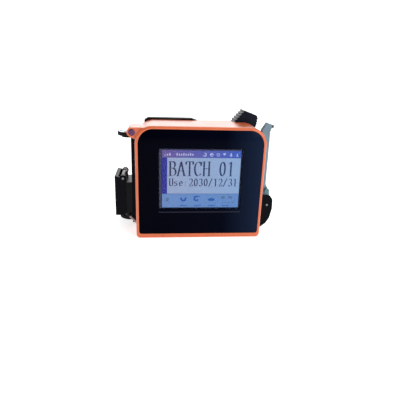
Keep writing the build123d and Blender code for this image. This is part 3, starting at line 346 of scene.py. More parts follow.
# %% A finish for every slot of the record
ORANGE = (0.60, 0.115, 0.030)
FINISHES = {
    "shell_orange": moulded("shell_orange", ORANGE, 0.3, grain=0.3, depth=0.008, drift=0.05, coat=0.3),
    "shell_black": moulded("shell_black", (0.006, 0.006, 0.009), 0.42, grain=0.3, depth=0.02, shine=0.15),
    "trigger_black": moulded("trigger_black", (0.003, 0.003, 0.005), 0.45, grain=0.25, shine=0.08),
    "mask_black": moulded("mask_black", (0.002, 0.003, 0.010), 0.3, grain=0.5, depth=0.0, shine=0.1),
    "seal_rubber": moulded("seal_rubber", (0.012, 0.012, 0.014), 0.7, grain=0.4, depth=0.03, shine=0.2),
    "display": moulded("display", (0.012, 0.011, 0.028), 0.3, grain=0.3, depth=0.0, shine=0.1),
    "flex_amber": moulded("flex_amber", (0.55, 0.22, 0.03), 0.3, grain=0.5, depth=0.01),
    "board_green": moulded("board_green", (0.01, 0.11, 0.04), 0.35, grain=0.6, depth=0.02, drift=0.2),
    "chip_black": moulded("chip_black", (0.02, 0.02, 0.022), 0.5, grain=0.2),
    "battery_wrap": moulded("battery_wrap", (0.05, 0.16, 0.42), 0.25, grain=1.5, depth=0.05),
    "port_black": moulded("port_black", (0.01, 0.01, 0.012), 0.3, grain=0.3, shine=0.2),
    "button_black": moulded("button_black", (0.015, 0.015, 0.018), 0.6, grain=0.2, depth=0.03, shine=0.2),
    "bay_grey": moulded("bay_grey", (0.05, 0.05, 0.055), 0.5, grain=0.4, depth=0.03, shine=0.3),
    "plate_black": moulded("plate_black", (0.001, 0.001, 0.003), 0.34, grain=0.15, depth=0.01,
                           shine=0.05),
    "nose_black": moulded("nose_black", (0.0015, 0.0015, 0.004), 0.3, grain=0.25, depth=0.006, shine=0.1),
    "cap_black": moulded("cap_black", (0.0006, 0.0006, 0.003), 0.28, grain=0.25, depth=0.006, shine=0.06),
    "bracket_black": moulded("bracket_black", (0.001, 0.0012, 0.003), 0.4, grain=0.2, depth=0.008,
                             shine=0.06),
    "tank_black": moulded("tank_black", (0.008, 0.008, 0.01), 0.45, grain=0.3, shine=0.2),
    "grip_black": moulded("grip_black", (0.005, 0.0075, 0.017), 0.32, grain=0.3, depth=0.01,
                          drift=0.25, shine=0.07),
    "foam_ink": moulded("foam_ink", (0.005, 0.005, 0.02), 0.8, grain=0.6, depth=0.2),
    "tip_black": moulded("tip_black", (0.012, 0.015, 0.014), 0.6, grain=0.3, shine=0.2),
    "tyre_rubber": moulded("tyre_rubber", (0.004, 0.005, 0.006), 0.5, grain=0.2, depth=0.03, shine=0.15),
    "lever_blue": moulded("lever_blue", (0.15, 0.235, 0.29), 0.42, grain=0.2, depth=0.012,
                          drift=0.14, shine=0.35),
    "lever_teal": moulded("lever_teal", (0.06, 0.18, 0.20), 0.35, grain=0.2, depth=0.012, drift=0.15),
    "screw_dark": brushed("screw_dark", (0.03, 0.03, 0.035), 0.4, along="X"),
    "screw_purple": brushed("screw_purple", (0.13, 0.06, 0.14), 0.38, along="X"),
    "lcd_steel": brushed("lcd_steel", (0.012, 0.012, 0.02), 0.4, along="X"),
    "port_steel": brushed("port_steel", (0.55, 0.55, 0.57), 0.3),
    "screw_steel": brushed("screw_steel", (0.5, 0.5, 0.52), 0.3, along="X"),
    "gold_contact": brushed("gold_contact", (0.85, 0.6, 0.2), 0.25),
    "pin_steel": brushed("pin_steel", (0.22, 0.21, 0.24), 0.4),
    "spring_steel": brushed("spring_steel", (0.62, 0.62, 0.66), 0.28),
    # The guard is stainless steel: the pink in its colour is a painted reflection of skin-coloured
    # surroundings.
    "guard_steel": brushed("guard_steel", (0.30, 0.24, 0.25), 0.4, along="X"),
    "nozzle_metal": brushed("nozzle_metal", (0.8, 0.65, 0.4), 0.3, along="Z"),
    "hub_aluminium": brushed("hub_aluminium", (0.62, 0.68, 0.72), 0.34, along="X"),
    "cover_glass": make_border_glass_painted_reflection(),
}
SLOT_OF = {part["node"]: part["material_slot"] for part in frame["record"]["subparts"]}
BODY_OF = {node: body for body, nodes in frame["record"]["behaviour"]["bodies"].items() for node in nodes}
for node, piece in frame["nodes"].items():
    for index in range(len(piece.material_slots)):
        piece.material_slots[index].material = FINISHES[SLOT_OF[node]]
print("finishes:", len(FINISHES))

# %% [markdown]
# ## New pieces
# Every new piece ends the same way: doubled points are merged, faces are turned outwards, smooth
# shading stops at sharp edges, and the piece is tied to a body, a slot and the node it stands for.
# Its measures are read from the CAD node's own box, so it always fits.

# %% Helpers for new pieces
MERGE = 0.0005 * MM
NODE_MERGE = 0.001 * MM


def new_piece(shape, name, body, slot, *replaced, finish=None, angle=35):
    """Turns a bmesh into a finished piece that rides on a body and stands for CAD nodes."""
    bmesh.ops.remove_doubles(shape, verts=shape.verts, dist=MERGE)
    bmesh.ops.recalc_face_normals(shape, faces=shape.faces)
    mesh = bpy.data.meshes.new(name)
    shape.to_mesh(mesh)
    shape.free()
    mesh.polygons.foreach_set("use_smooth", [True] * len(mesh.polygons))
    mesh.set_sharp_from_angle(angle=radians(angle))
    mesh.materials.append(finish or FINISHES[slot])
    piece = bpy.data.objects.new(name, mesh)
    bpy.context.scene.collection.objects.link(piece)
    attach(piece, body)
    if replaced:
        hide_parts(*replaced)
    return piece


def loose_boxes(node):
    """(low, high) of each separate solid in a CAD node, for nodes that hold several screws."""
    copy = bmesh.new()
    copy.from_mesh(frame["nodes"][node].data)
    bmesh.ops.transform(copy, verts=copy.verts, matrix=frame["nodes"][node].matrix_world)
    bmesh.ops.remove_doubles(copy, verts=copy.verts, dist=NODE_MERGE)
    waiting = set(copy.verts)
    boxes = []
    while waiting:
        group, reach = set(), [waiting.pop()]
        while reach:
            vert = reach.pop()
            group.add(vert)
            near = {edge.other_vert(vert) for edge in vert.link_edges} & waiting
            waiting -= near
            reach += near
        low = Vector([min(vert.co[axis] for vert in group) for axis in range(3)])
        high = Vector([max(vert.co[axis] for vert in group) for axis in range(3)])
        boxes.append((low, high))
    copy.free()
    return sorted(boxes, key=lambda box: tuple(box[0]))


def turn_to(shape, verts, direction, place):
    """Turns shapes modelled along +Z to point along a direction, and puts them at a place."""
    turn = Vector(direction).to_track_quat("Z", "Y").to_matrix()
    bmesh.ops.rotate(shape, verts=verts, cent=(0, 0, 0), matrix=turn)
    bmesh.ops.translate(shape, verts=verts, vec=place)


print("screws in the side plate:", len(loose_boxes("plate_screws")))

# %% [markdown]
# ## Socket screws
# Each visible screw is a low round head with a hexagon socket. The CAD screw has a plain round
# recess. The head is drawn as two loops, a circle and a hexagon, bridged into a ring; the ring's
# outer edge is extruded down for the head and its inner edge for the socket, and the rim is bevelled
# so that it catches a line of light.

# %% Socket screws
SCREW_SIDES = 24
SOCKET_SHARE = 0.45             # socket's corner radius as a share of the head's radius
RIM_SHARE = 0.14                # bevel of the head's rim, as a share of its radius
HEAD_HEIGHT = 0.55 * MM
SOCKET_DEPTH = 0.5 * MM
HEAD_PLAY = 0.02 * MM


def loop_edges(verts):
    """Edges of one closed loop of vertices, each once."""
    return list(dict.fromkeys(edge for vert in verts for edge in vert.link_edges))


def socket_head(shape, radius, socket, direction, place):
    """Adds one screw head whose top lies at the place and faces the direction."""
    outer = bmesh.ops.create_circle(shape, segments=SCREW_SIDES, radius=radius)["verts"]
    inner = bmesh.ops.create_circle(shape, segments=6, radius=socket)["verts"]
    outer_edges, inner_edges = loop_edges(outer), loop_edges(inner)
    bmesh.ops.bridge_loops(shape, edges=outer_edges + inner_edges)
    made = list(outer) + list(inner)
    for edges, drop in ((outer_edges, HEAD_HEIGHT), (inner_edges, SOCKET_DEPTH)):
        grown = bmesh.ops.extrude_edge_only(shape, edges=edges)["geom"]
        low = [item for item in grown if isinstance(item, bmesh.types.BMVert)]
        bmesh.ops.translate(shape, verts=low, vec=(0, 0, -drop))
        bmesh.ops.contextual_create(shape, geom=[item for item in grown
                                                 if isinstance(item, bmesh.types.BMEdge)])
        made += low
    rim = [edge for edge in outer_edges if edge.is_valid]
    known = set(shape.verts) - set(made)
    bmesh.ops.bevel(shape, geom=rim, offset=radius * RIM_SHARE, affect="EDGES", segments=2,
                    profile=0.5, material=-1)
    turn_to(shape, [vert for vert in shape.verts if vert not in known], direction, place)


def screw_set(node, direction, slot):
    """One piece with a socket head for every screw in a CAD node."""
    shape = bmesh.new()
    way = Vector(direction)
    axis = max(range(3), key=lambda index: abs(way[index]))
    boxes = loose_boxes(node)
    for low, high in boxes:
        width = min((high - low)[index] for index in range(3) if index != axis)
        top = (low + high) / 2
        top[axis] = high[axis] if way[axis] > 0 else low[axis]
        socket_head(shape, width / 2 - HEAD_PLAY, width / 2 * SOCKET_SHARE, way, top)
    piece = new_piece(shape, node + "_sockets", BODY_OF[node], slot, node)
    print(node, "heads:", len(boxes), "vertices:", len(piece.data.vertices))
    return piece


screw_set("lug_screw", (0, -1, 0), "screw_purple")
screw_set("plate_screws", (-1, 0, 0), "screw_dark")
screw_set("bracket_screws", (1, 0, 0), "screw_dark")
screw_set("case_screws", (0, 1, 0), "screw_dark")
screw_set("upper_axle_screw", (0, 0, 1), "screw_steel")
screw_set("lower_axle_screw", (0, 0, 1), "screw_steel")

# %% [markdown]
# ## Coil springs
# The cap and the latch are each closed by a wire spring round the hinge pin, and two upright springs
# push the print trigger back up. The spin operator makes a coil in one call: a small circle, the
# wire's section, goes round the axis many times while dvec moves it along by a little at each step.
# Both ends are then closed with a face.

# %% Coil springs
WIRE_SIDES = 8
STEPS_PER_TURN = 20


def add_coil(shape, low, high, direction, radius, wire, turns):
    """Adds a coil that fills the length of a box along a direction."""
    way = Vector(direction)
    length = (high - low).dot(way)
    known = set(shape.verts)
    ring = bmesh.ops.create_circle(shape, segments=WIRE_SIDES, radius=wire)["verts"]
    bmesh.ops.rotate(shape, verts=ring, cent=(0, 0, 0), matrix=Matrix.Rotation(pi / 2, 3, "X"))
    bmesh.ops.translate(shape, verts=ring, vec=(radius, 0, wire))
    steps = turns * STEPS_PER_TURN
    bmesh.ops.spin(shape, geom=list(ring) + loop_edges(ring), cent=(0, 0, 0), axis=(0, 0, 1),
                   dvec=(0, 0, (length - 2 * wire) / steps), angle=2 * pi * turns, steps=steps,
                   use_merge=False, use_duplicate=False)
    open_edges = [edge for edge in shape.edges if edge.is_boundary]
    bmesh.ops.holes_fill(shape, edges=open_edges, sides=WIRE_SIDES)
    made = [vert for vert in shape.verts if vert not in known]
    turn_to(shape, made, way, (low + high) / 2 - way * length / 2)


def coils(node, name, direction, radius, wire, turns):
    """One piece with a coil for every spring in a CAD node, which it replaces."""
    shape = bmesh.new()
    for low, high in loose_boxes(node):
        add_coil(shape, low, high, direction, radius, wire, turns)
    piece = new_piece(shape, name, BODY_OF[node], "spring_steel", node, angle=60)
    print(name, "vertices:", len(piece.data.vertices))
    return piece


# node, name, direction, radius of the coil, radius of the wire, turns
coils("cap_spring", "cap_coil", (0, 1, 0), 1.75 * MM, 0.36 * MM, 9)
coils("latch_spring", "latch_coil", (0, 1, 0), 1.85 * MM, 0.36 * MM, 7)
trigger_coils = coils("trigger_springs", "trigger_coils", (0, 0, 1), 1.85 * MM, 0.3 * MM, 5)
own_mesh(trigger_coils)

# %% [markdown]
# ## Guide wheels
# The wheels roll along the carton and keep the nozzle at its distance. Each has a turned aluminium
# hub and a thin rubber tyre with fine cross grooves for grip. The hub is a half section spun round
# its axis. The tyre is a spun ring too: every second face of its tread is inset and pushed inwards,
# which leaves the grooves.

# %% Guide wheels
HUB_SIDES = 64
HUB_BORE = 1.56 * MM
HUB_BOSS = 2.9 * MM
HUB_DISH = 0.45 * MM            # how far the web lies below the rim
HUB_EDGE = 0.2 * MM
GROOVES = 56
GROOVE_EDGE = 0.09 * MM
GROOVE_DEPTH = 0.25 * MM
TYRE_DEPTH = 0.7 * MM
TYRE_EDGE = 0.3 * MM
TREAD_SHARE = 0.99              # faces further out than this share of the radius are tread


def spin_section(shape, section, steps):
    """Closed section of (radius, height) points, spun once round Z."""
    verts = [shape.verts.new((radius, 0, height)) for radius, height in section]
    edges = [shape.edges.new((a, b)) for a, b in zip(verts, verts[1:] + verts[:1])]
    bmesh.ops.spin(shape, geom=verts + edges, cent=(0, 0, 0), axis=(0, 0, 1), dvec=(0, 0, 0),
                   angle=2 * pi, steps=steps, use_merge=True, use_duplicate=False)


def make_hub(side):
    """Turned hub with a raised rim, a dished web and a round boss."""
    node = side + "_wheel_hub"
    low, high = (Vector(corner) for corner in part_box(node))
    radius = (high.x - low.x) / 2
    half = (high.z - low.z) / 2
    bore, boss, web, edge = HUB_BORE, HUB_BOSS, half - HUB_DISH, HUB_EDGE
    section = []
    for sign in (1, -1):
        half_section = [(bore, half - edge if sign > 0 else half), (bore + edge, half),
                        (boss - edge, half), (boss, half - edge), (boss + edge, web),
                        (radius - 4 * edge, web), (radius - 3 * edge, half - edge),
                        (radius - 2 * edge, half), (radius, half)]
        if sign < 0:
            half_section.reverse()
        section += [(r, sign * z) for r, z in half_section]
    shape = bmesh.new()
    spin_section(shape, section, HUB_SIDES)
    bmesh.ops.translate(shape, verts=shape.verts, vec=(low + high) / 2)
    return new_piece(shape, side + "_hub_turned", BODY_OF[node], "hub_aluminium", node)


def make_tyre(side):
    """Rubber ring with cross grooves."""
    node = side + "_wheel_tyre"
    low, high = (Vector(corner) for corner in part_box(node))
    radius = (high.x - low.x) / 2
    half = (high.z - low.z) / 2
    inner = radius - TYRE_DEPTH
    shape = bmesh.new()
    section = [(inner, -half), (radius - TYRE_EDGE, -half), (radius, -half + TYRE_EDGE),
               (radius, half - TYRE_EDGE), (radius - TYRE_EDGE, half), (inner, half)]
    spin_section(shape, section, GROOVES * 2)
    bmesh.ops.recalc_face_normals(shape, faces=shape.faces)
    tread = [face for face in shape.faces
             if face.calc_center_median().to_2d().length > radius * TREAD_SHARE]
    tread.sort(key=lambda face: face.calc_center_median().to_2d().angle_signed(Vector((1, 0)), 0))
    grooves = tread[::2]
    bmesh.ops.inset_individual(shape, faces=grooves, thickness=GROOVE_EDGE, depth=-GROOVE_DEPTH)
    bmesh.ops.translate(shape, verts=shape.verts, vec=(low + high) / 2)
    piece = new_piece(shape, side + "_tyre_grooved", BODY_OF[node], "tyre_rubber", node)
    print(piece.name, "grooves:", len(grooves))
    return piece


for side in ("upper", "lower"):
    make_hub(side)
    make_tyre(side)

# %% [markdown]
# ## Cover glass pieces
# The border is a sheet with rounded corners and a rectangular window. Two rectangles, the outer one
# with its corners rounded by a vertex bevel, are bridged into a ring, which is then extruded to the
# glass's thickness. Its front edges are bevelled, as ground glass is.

# %% Cover glass pieces
GLASS_LOW, GLASS_HIGH = (Vector(corner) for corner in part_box("cover_glass"))
FRAME_LOW, FRAME_HIGH = (Vector(corner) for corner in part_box("lcd_frame"))
TOP_RADIUS = 10.4 * MM
FOOT_RADIUS = 1.9 * MM
BORDER_PRINT = 0.15 * MM        # thickness of the black border behind the glass
GROUND_EDGE = 0.2 * MM
WINDOW_PLAY = 0.05 * MM
WINDOW_EDGE_X = 4.4 * MM        # metal frame of the panel that the border hides at each side
WINDOW_EDGE_Z = 2.2 * MM        # and above it
WINDOW_FOOT_Z = 3.2 * MM        # and below it
WINDOW_LOW = Vector((FRAME_LOW.x + WINDOW_EDGE_X, GLASS_LOW.y, FRAME_LOW.z + WINDOW_FOOT_Z))
WINDOW_HIGH = Vector((FRAME_HIGH.x - WINDOW_EDGE_X, GLASS_LOW.y, FRAME_HIGH.z - WINDOW_EDGE_Z))


def upright_rectangle(shape, low, high):
    """Rectangle in X and Z between two corners, as its four vertices."""
    verts = bmesh.ops.create_grid(shape, x_segments=1, y_segments=1, size=0.5)["verts"]
    bmesh.ops.rotate(shape, verts=verts, cent=(0, 0, 0), matrix=Matrix.Rotation(pi / 2, 3, "X"))
    bmesh.ops.scale(shape, verts=verts, vec=(high.x - low.x, 1, high.z - low.z))
    bmesh.ops.translate(shape, verts=verts, vec=(low + high) / 2)
    return verts


def make_border():
    """Black border round the window, with rounded outer corners and ground front edges."""
    shape = bmesh.new()
    outer = upright_rectangle(shape, GLASS_LOW, Vector((GLASS_HIGH.x, GLASS_LOW.y, GLASS_HIGH.z)))
    middle = (GLASS_LOW.z + GLASS_HIGH.z) / 2
    for radius, corners in ((TOP_RADIUS, [v for v in outer if v.co.z > middle]),
                            (FOOT_RADIUS, [v for v in outer if v.co.z < middle])):
        bmesh.ops.bevel(shape, geom=corners, offset=radius, affect="VERTICES", segments=10, profile=0.5,
                        material=-1)
    bmesh.ops.delete(shape, geom=list(shape.faces), context="FACES_ONLY")
    upright_rectangle(shape, WINDOW_LOW, WINDOW_HIGH)
    bmesh.ops.delete(shape, geom=list(shape.faces), context="FACES_ONLY")
    bmesh.ops.bridge_loops(shape, edges=list(shape.edges))
    front = list(shape.faces)
    grown = bmesh.ops.extrude_face_region(shape, geom=front)["geom"]
    back = [item for item in grown if isinstance(item, bmesh.types.BMVert)]
    bmesh.ops.translate(shape, verts=back, vec=(0, GLASS_HIGH.y - GLASS_LOW.y + BORDER_PRINT, 0))
    bmesh.ops.recalc_face_normals(shape, faces=shape.faces)
    rim = [edge for edge in shape.edges if edge.calc_face_angle(0) > radians(60)
           and all(vert.co.y < GLASS_LOW.y + WINDOW_PLAY for vert in edge.verts)]
    bmesh.ops.bevel(shape, geom=rim, offset=GROUND_EDGE, affect="EDGES", segments=2, profile=0.5,
                    material=-1)
    return new_piece(shape, "glass_border", "case", "cover_glass", "cover_glass", "glass_mask")


def make_window():
    """Clear pane that fills the border's window with a little play all round."""
    shape = bmesh.new()
    edge = Vector((WINDOW_PLAY, 0, WINDOW_PLAY))
    upright_rectangle(shape, WINDOW_LOW + edge, WINDOW_HIGH - edge)
    grown = bmesh.ops.extrude_face_region(shape, geom=list(shape.faces))["geom"]
    back = [item for item in grown if isinstance(item, bmesh.types.BMVert)]
    bmesh.ops.translate(shape, verts=back, vec=(0, GLASS_HIGH.y - GLASS_LOW.y - 2 * WINDOW_PLAY, 0))
    bmesh.ops.translate(shape, verts=shape.verts, vec=(0, WINDOW_PLAY, 0))
    return new_piece(shape, "glass_window", "case", "cover_glass", finish=WINDOW_GLASS)


print("border:", len(make_border().data.polygons), "faces, window:", len(make_window().data.polygons))

# %% [markdown]
# ## The lit picture
# The panel is dark until its back light comes on. The picture is a set of flat shapes that glow,
# each a hair in front of the last: a pale work area, a violet to blue status bar, a dark blue
# column at the left and a mid blue tool bar with round keys. The wording is a made-up batch line
# and date.

# %% Screen measures
PICTURE_WIDTH = 56.3 * MM
PICTURE_HEIGHT = 42.6 * MM
PICTURE_SHIFT = 0.55 * MM       # the lit part lies a little right of the window's middle
STATUS_SHARE = 0.126
TOOL_SHARE = 0.248
COLUMN_SHARE = 0.064
LAYER = 0.03 * MM
panel_low, panel_high = (Vector(corner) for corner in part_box("lcd_panel"))
PICTURE_Y = min(panel_low.y, FRAME_LOW.y)
PICTURE_LEFT = (panel_low.x + panel_high.x) / 2 + PICTURE_SHIFT - PICTURE_WIDTH / 2
PICTURE_FOOT = (panel_low.z + panel_high.z) / 2 - PICTURE_HEIGHT / 2
print("picture from", round(PICTURE_LEFT, 4), round(PICTURE_FOOT, 4))


# %% Glowing colours
def glowing(name, left, right, spread=0.15):
    """Emission that runs from one colour to another across the screen, broken by a fine grain."""
    material, tree, shader = new_material(name)
    place = object_place(tree)
    split = add_node(tree, "ShaderNodeSeparateXYZ")
    tree.links.new(place, split.inputs["Vector"])
    across = add_node(tree, "ShaderNodeMapRange")
    across.inputs["From Min"].default_value = PICTURE_LEFT
    across.inputs["From Max"].default_value = PICTURE_LEFT + PICTURE_WIDTH
    tree.links.new(split.outputs["X"], across.inputs["Value"])
    tones = add_node(tree, "ShaderNodeValToRGB")
    tones.color_ramp.elements[0].color = tuple(left) + (1,)
    tones.color_ramp.elements[1].color = tuple(right) + (1,)
    tree.links.new(across.outputs["Result"], tones.inputs["Fac"])
    grain = add_node(tree, "ShaderNodeTexNoise", scale=1200.0, detail=3.0)
    tree.links.new(place, grain.inputs["Vector"])
    flicker = add_node(tree, "ShaderNodeMapRange")
    flicker.inputs["To Min"].default_value = 1 - spread
    flicker.inputs["To Max"].default_value = 1 + spread
    tree.links.new(grain.outputs["Fac"], flicker.inputs["Value"])
    blend = add_node(tree, "ShaderNodeVectorMath", operation="SCALE")
    tree.links.new(tones.outputs["Color"], blend.inputs[0])
    tree.links.new(flicker.outputs["Result"], blend.inputs["Scale"])
    tree.links.new(blend.outputs["Vector"], shader.inputs["Emission Color"])
    shader.inputs["Emission Strength"].default_value = 1.0
    shader.inputs["Base Color"].default_value = (0.01, 0.01, 0.01, 1)
    shader.inputs["Roughness"].default_value = 0.5
    shader.inputs["Specular IOR Level"].default_value = 0.1
    return material


GLOWS = {
    "work_area": glowing("work_area", (0.36, 0.44, 0.66), (0.30, 0.46, 0.74)),
    "status_bar": glowing("status_bar", (0.16, 0.11, 0.36), (0.05, 0.12, 0.58)),
    "side_column": glowing("side_column", (0.03, 0.03, 0.34), (0.03, 0.03, 0.34), 0.5),
    "tool_bar": glowing("tool_bar", (0.16, 0.29, 0.62), (0.13, 0.29, 0.66)),
    "dark_ink": glowing("dark_ink", (0.032, 0.036, 0.10), (0.025, 0.05, 0.17)),
    "icon_white": glowing("icon_white", (0.62, 0.60, 0.88), (0.45, 0.58, 0.95)),
    "icon_blue": glowing("icon_blue", (0.02, 0.10, 0.46), (0.02, 0.12, 0.44)),
    "icon_grey": glowing("icon_grey", (0.10, 0.18, 0.34), (0.10, 0.20, 0.36)),
    "fine_rule": glowing("fine_rule", (0.06, 0.11, 0.30), (0.06, 0.11, 0.30)),
    # Painted light: the panel frame's strips and the printed line under the window glow in this colour.
    "edge_glow": glowing("edge_glow", (0.05, 0.055, 0.105), (0.06, 0.065, 0.09)),
}
print("glows:", len(GLOWS))


# %% [markdown]
# ## Shapes on the screen
# Everything on the screen is a flat rectangle, or an arc made by spinning one short edge. Places
# are given as shares of the picture, from its lower left corner, so the whole picture moves with
# the panel.

# %% Flat shapes on the screen
def picture_point(u, v, layer):
    """Point at share u across and share v up the picture, some layers in front of the panel."""
    return Vector((PICTURE_LEFT + u * PICTURE_WIDTH, PICTURE_Y - layer * LAYER,
                   PICTURE_FOOT + v * PICTURE_HEIGHT))


def flat_patch(shape, u0, u1, v0, v1, layer):
    """Adds an upright rectangle."""
    return upright_rectangle(shape, picture_point(u0, v0, layer), picture_point(u1, v1, layer))


def flat_arc(shape, u, v, radius, layer, squash=1.0, hole=0.05, sweep=(0, 360)):
    """Adds a round key or an arc: radius and hole are shares of the picture's width."""
    centre = picture_point(u, v, layer)
    known = set(shape.verts)
    ends = [shape.verts.new((reach * PICTURE_WIDTH, 0, 0)) for reach in (radius * hole, radius)]
    edge = shape.edges.new(ends)
    bmesh.ops.rotate(shape, verts=ends, cent=(0, 0, 0),
                     matrix=Matrix.Rotation(-radians(sweep[0]), 3, "Y"))
    bmesh.ops.spin(shape, geom=ends + [edge], cent=(0, 0, 0), axis=(0, 1, 0), dvec=(0, 0, 0),
                   angle=radians(sweep[0] - sweep[1]), steps=24, use_merge=False, use_duplicate=False)
    made = [vert for vert in shape.verts if vert not in known]
    bmesh.ops.scale(shape, verts=made, vec=(1, 1, squash))
    bmesh.ops.translate(shape, verts=made, vec=centre)


def picture_piece(name, glow, build):
    """One glowing piece: build adds its shapes to an empty bmesh."""
    shape = bmesh.new()
    build(shape)
    bmesh.ops.remove_doubles(shape, verts=shape.verts, dist=NODE_MERGE)
    shape.normal_update()
    away = [face for face in shape.faces if face.normal.y > 0]
    bmesh.ops.reverse_faces(shape, faces=away)
    mesh = bpy.data.meshes.new(name)
    shape.to_mesh(mesh)
    shape.free()
    mesh.materials.append(GLOWS[glow])
    piece = bpy.data.objects.new(name, mesh)
    bpy.context.scene.collection.objects.link(piece)
    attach(piece, "case")
    print(name, "faces:", len(mesh.polygons))
    return piece


print("picture's top right corner:", [round(value, 4) for value in picture_point(1, 1, 0)])

# %% Areas of the picture
TOP = 1 - STATUS_SHARE
AREAS = {
    "work_area": (COLUMN_SHARE, 1, TOOL_SHARE, TOP, 1),
    "status_bar": (0, 1, TOP, 1, 1),
    "side_column": (0, COLUMN_SHARE, TOOL_SHARE, TOP, 1),
    "tool_bar": (0, 1, 0, TOOL_SHARE, 1),
    "fine_rule": (0, 1, TOOL_SHARE - 0.004, TOOL_SHARE + 0.003, 2),
}
for area, (u0, u1, v0, v1, layer) in AREAS.items():
    picture_piece("screen_" + area, area, lambda shape: flat_patch(shape, u0, u1, v0, v1, layer))


# %% [markdown]
# ## Icons
# The marks stand for no real icon set: short bars and open rings of the size and spacing that such
# a screen has. Each group is one piece, because it has one colour.

# %% Icons of the picture
def draw_status_icons(shape):
    """Small pale marks along the status bar."""
    middle = TOP + STATUS_SHARE * 0.45
    for index in range(8):
        u = 0.18 + index * 0.028
        tall = 0.012 if index % 3 else 0.024
        flat_patch(shape, u, u + 0.014, middle - 0.02, middle + tall, 2)
    for index in range(3):
        u = 0.03 + index * 0.03
        flat_patch(shape, u, u + 0.015, middle - 0.02, middle - 0.005 + index * 0.012, 2)
    flat_arc(shape, 0.535, middle, 0.024, 2, hole=0.55, sweep=(-150, 110))
    flat_arc(shape, 0.625, middle, 0.024, 2, hole=0.6, sweep=(60, 300))
    flat_patch(shape, 0.60, 0.65, middle - 0.004, middle + 0.01, 2)
    flat_arc(shape, 0.705, middle, 0.020, 2, hole=0.65)
    flat_arc(shape, 0.785, middle, 0.022, 2, hole=0.3, sweep=(20, 160))
    flat_arc(shape, 0.785, middle - 0.01, 0.012, 2, sweep=(20, 160))
    flat_arc(shape, 0.87, middle, 0.020, 2, hole=0.7, sweep=(200, 340))
    flat_patch(shape, 0.862, 0.878, middle - 0.02, middle + 0.028, 2)
    flat_patch(shape, 0.935, 0.965, middle - 0.024, middle - 0.012, 2)
    flat_patch(shape, 0.945, 0.955, middle - 0.012, middle + 0.024, 2)


def draw_tool_icons(shape):
    """Three round blue keys on the tool bar, with captions of short marks below."""
    middle = TOOL_SHARE * 0.66
    flat_arc(shape, 0.275, middle, 0.041, 3, hole=0.42, sweep=(150, 390))
    flat_arc(shape, 0.445, middle, 0.040, 3, hole=0.4, sweep=(60, 330))
    flat_patch(shape, 0.455, 0.49, middle + 0.028, middle + 0.045, 3)
    flat_arc(shape, 0.64, middle - 0.02, 0.046, 3, squash=0.45)
    for index in range(4):
        for step in range(4):
            u = 0.235 + index * 0.185 + step * 0.024
            flat_patch(shape, u, u + 0.016, 0.022, 0.044, 3)


def draw_faint_icons(shape):
    """Two dull marks at the right of the tool bar and one at its left."""
    for u in (0.77, 0.865):
        flat_patch(shape, u, u + 0.05, TOOL_SHARE * 0.64, TOOL_SHARE * 0.84, 3)
    for step in range(4):
        u = 0.78 + step * 0.045
        flat_patch(shape, u, u + 0.022, TOOL_SHARE * 0.32, TOOL_SHARE * 0.42, 3)
    flat_patch(shape, 0.05, 0.085, TOOL_SHARE * 0.45, TOOL_SHARE * 0.7, 3)


picture_piece("screen_status_icons", "icon_white", draw_status_icons)
picture_piece("screen_tool_icons", "icon_blue", draw_tool_icons)
picture_piece("screen_faint_icons", "icon_grey", draw_faint_icons)

# %% [markdown]
# ## Wording
# The coder previews its print in a roman face, with thick uprights, thin level strokes and small
# feet. A pen with a broad, nearly level nib draws exactly that: the nib is one short edge, and each
# stroke extrudes it from point to point without turning it. A glyph is then only a list of strokes
# in a box one unit high, and the same pen writes both lines.

# %% Pen strokes
NIB_WIDTH = 0.125               # as a share of a glyph's width
NIB_LIFT = 0.03                 # how much higher one end of the nib is, as a share of its height
NIB_LEAST = 0.05 * MM
PITCH = 0.62                    # width of one letter's place, as a share of the glyph box


def line(*points):
    """Stroke through given points."""
    return [Vector((x, 0, z)) for x, z in points]


def arc(x, z, wide, high, start, end):
    """Stroke along part of an ellipse, in twelve steps."""
    turns = [radians(start + (end - start) * step / 12) for step in range(13)]
    return [Vector((x + wide * cos(turn), 0, z + high * sin(turn))) for turn in turns]


def foot(x, z):
    """Small level stroke that ends an upright."""
    return line((x - 0.11, z), (x + 0.11, z))


def upright(x, low=0, high=1):
    """Upright stroke with a foot at both ends."""
    return [line((x, low), (x, high)), foot(x, low), foot(x, high)]


print("points of a full round stroke:", len(arc(0, 0, 1, 1, 0, 360)))

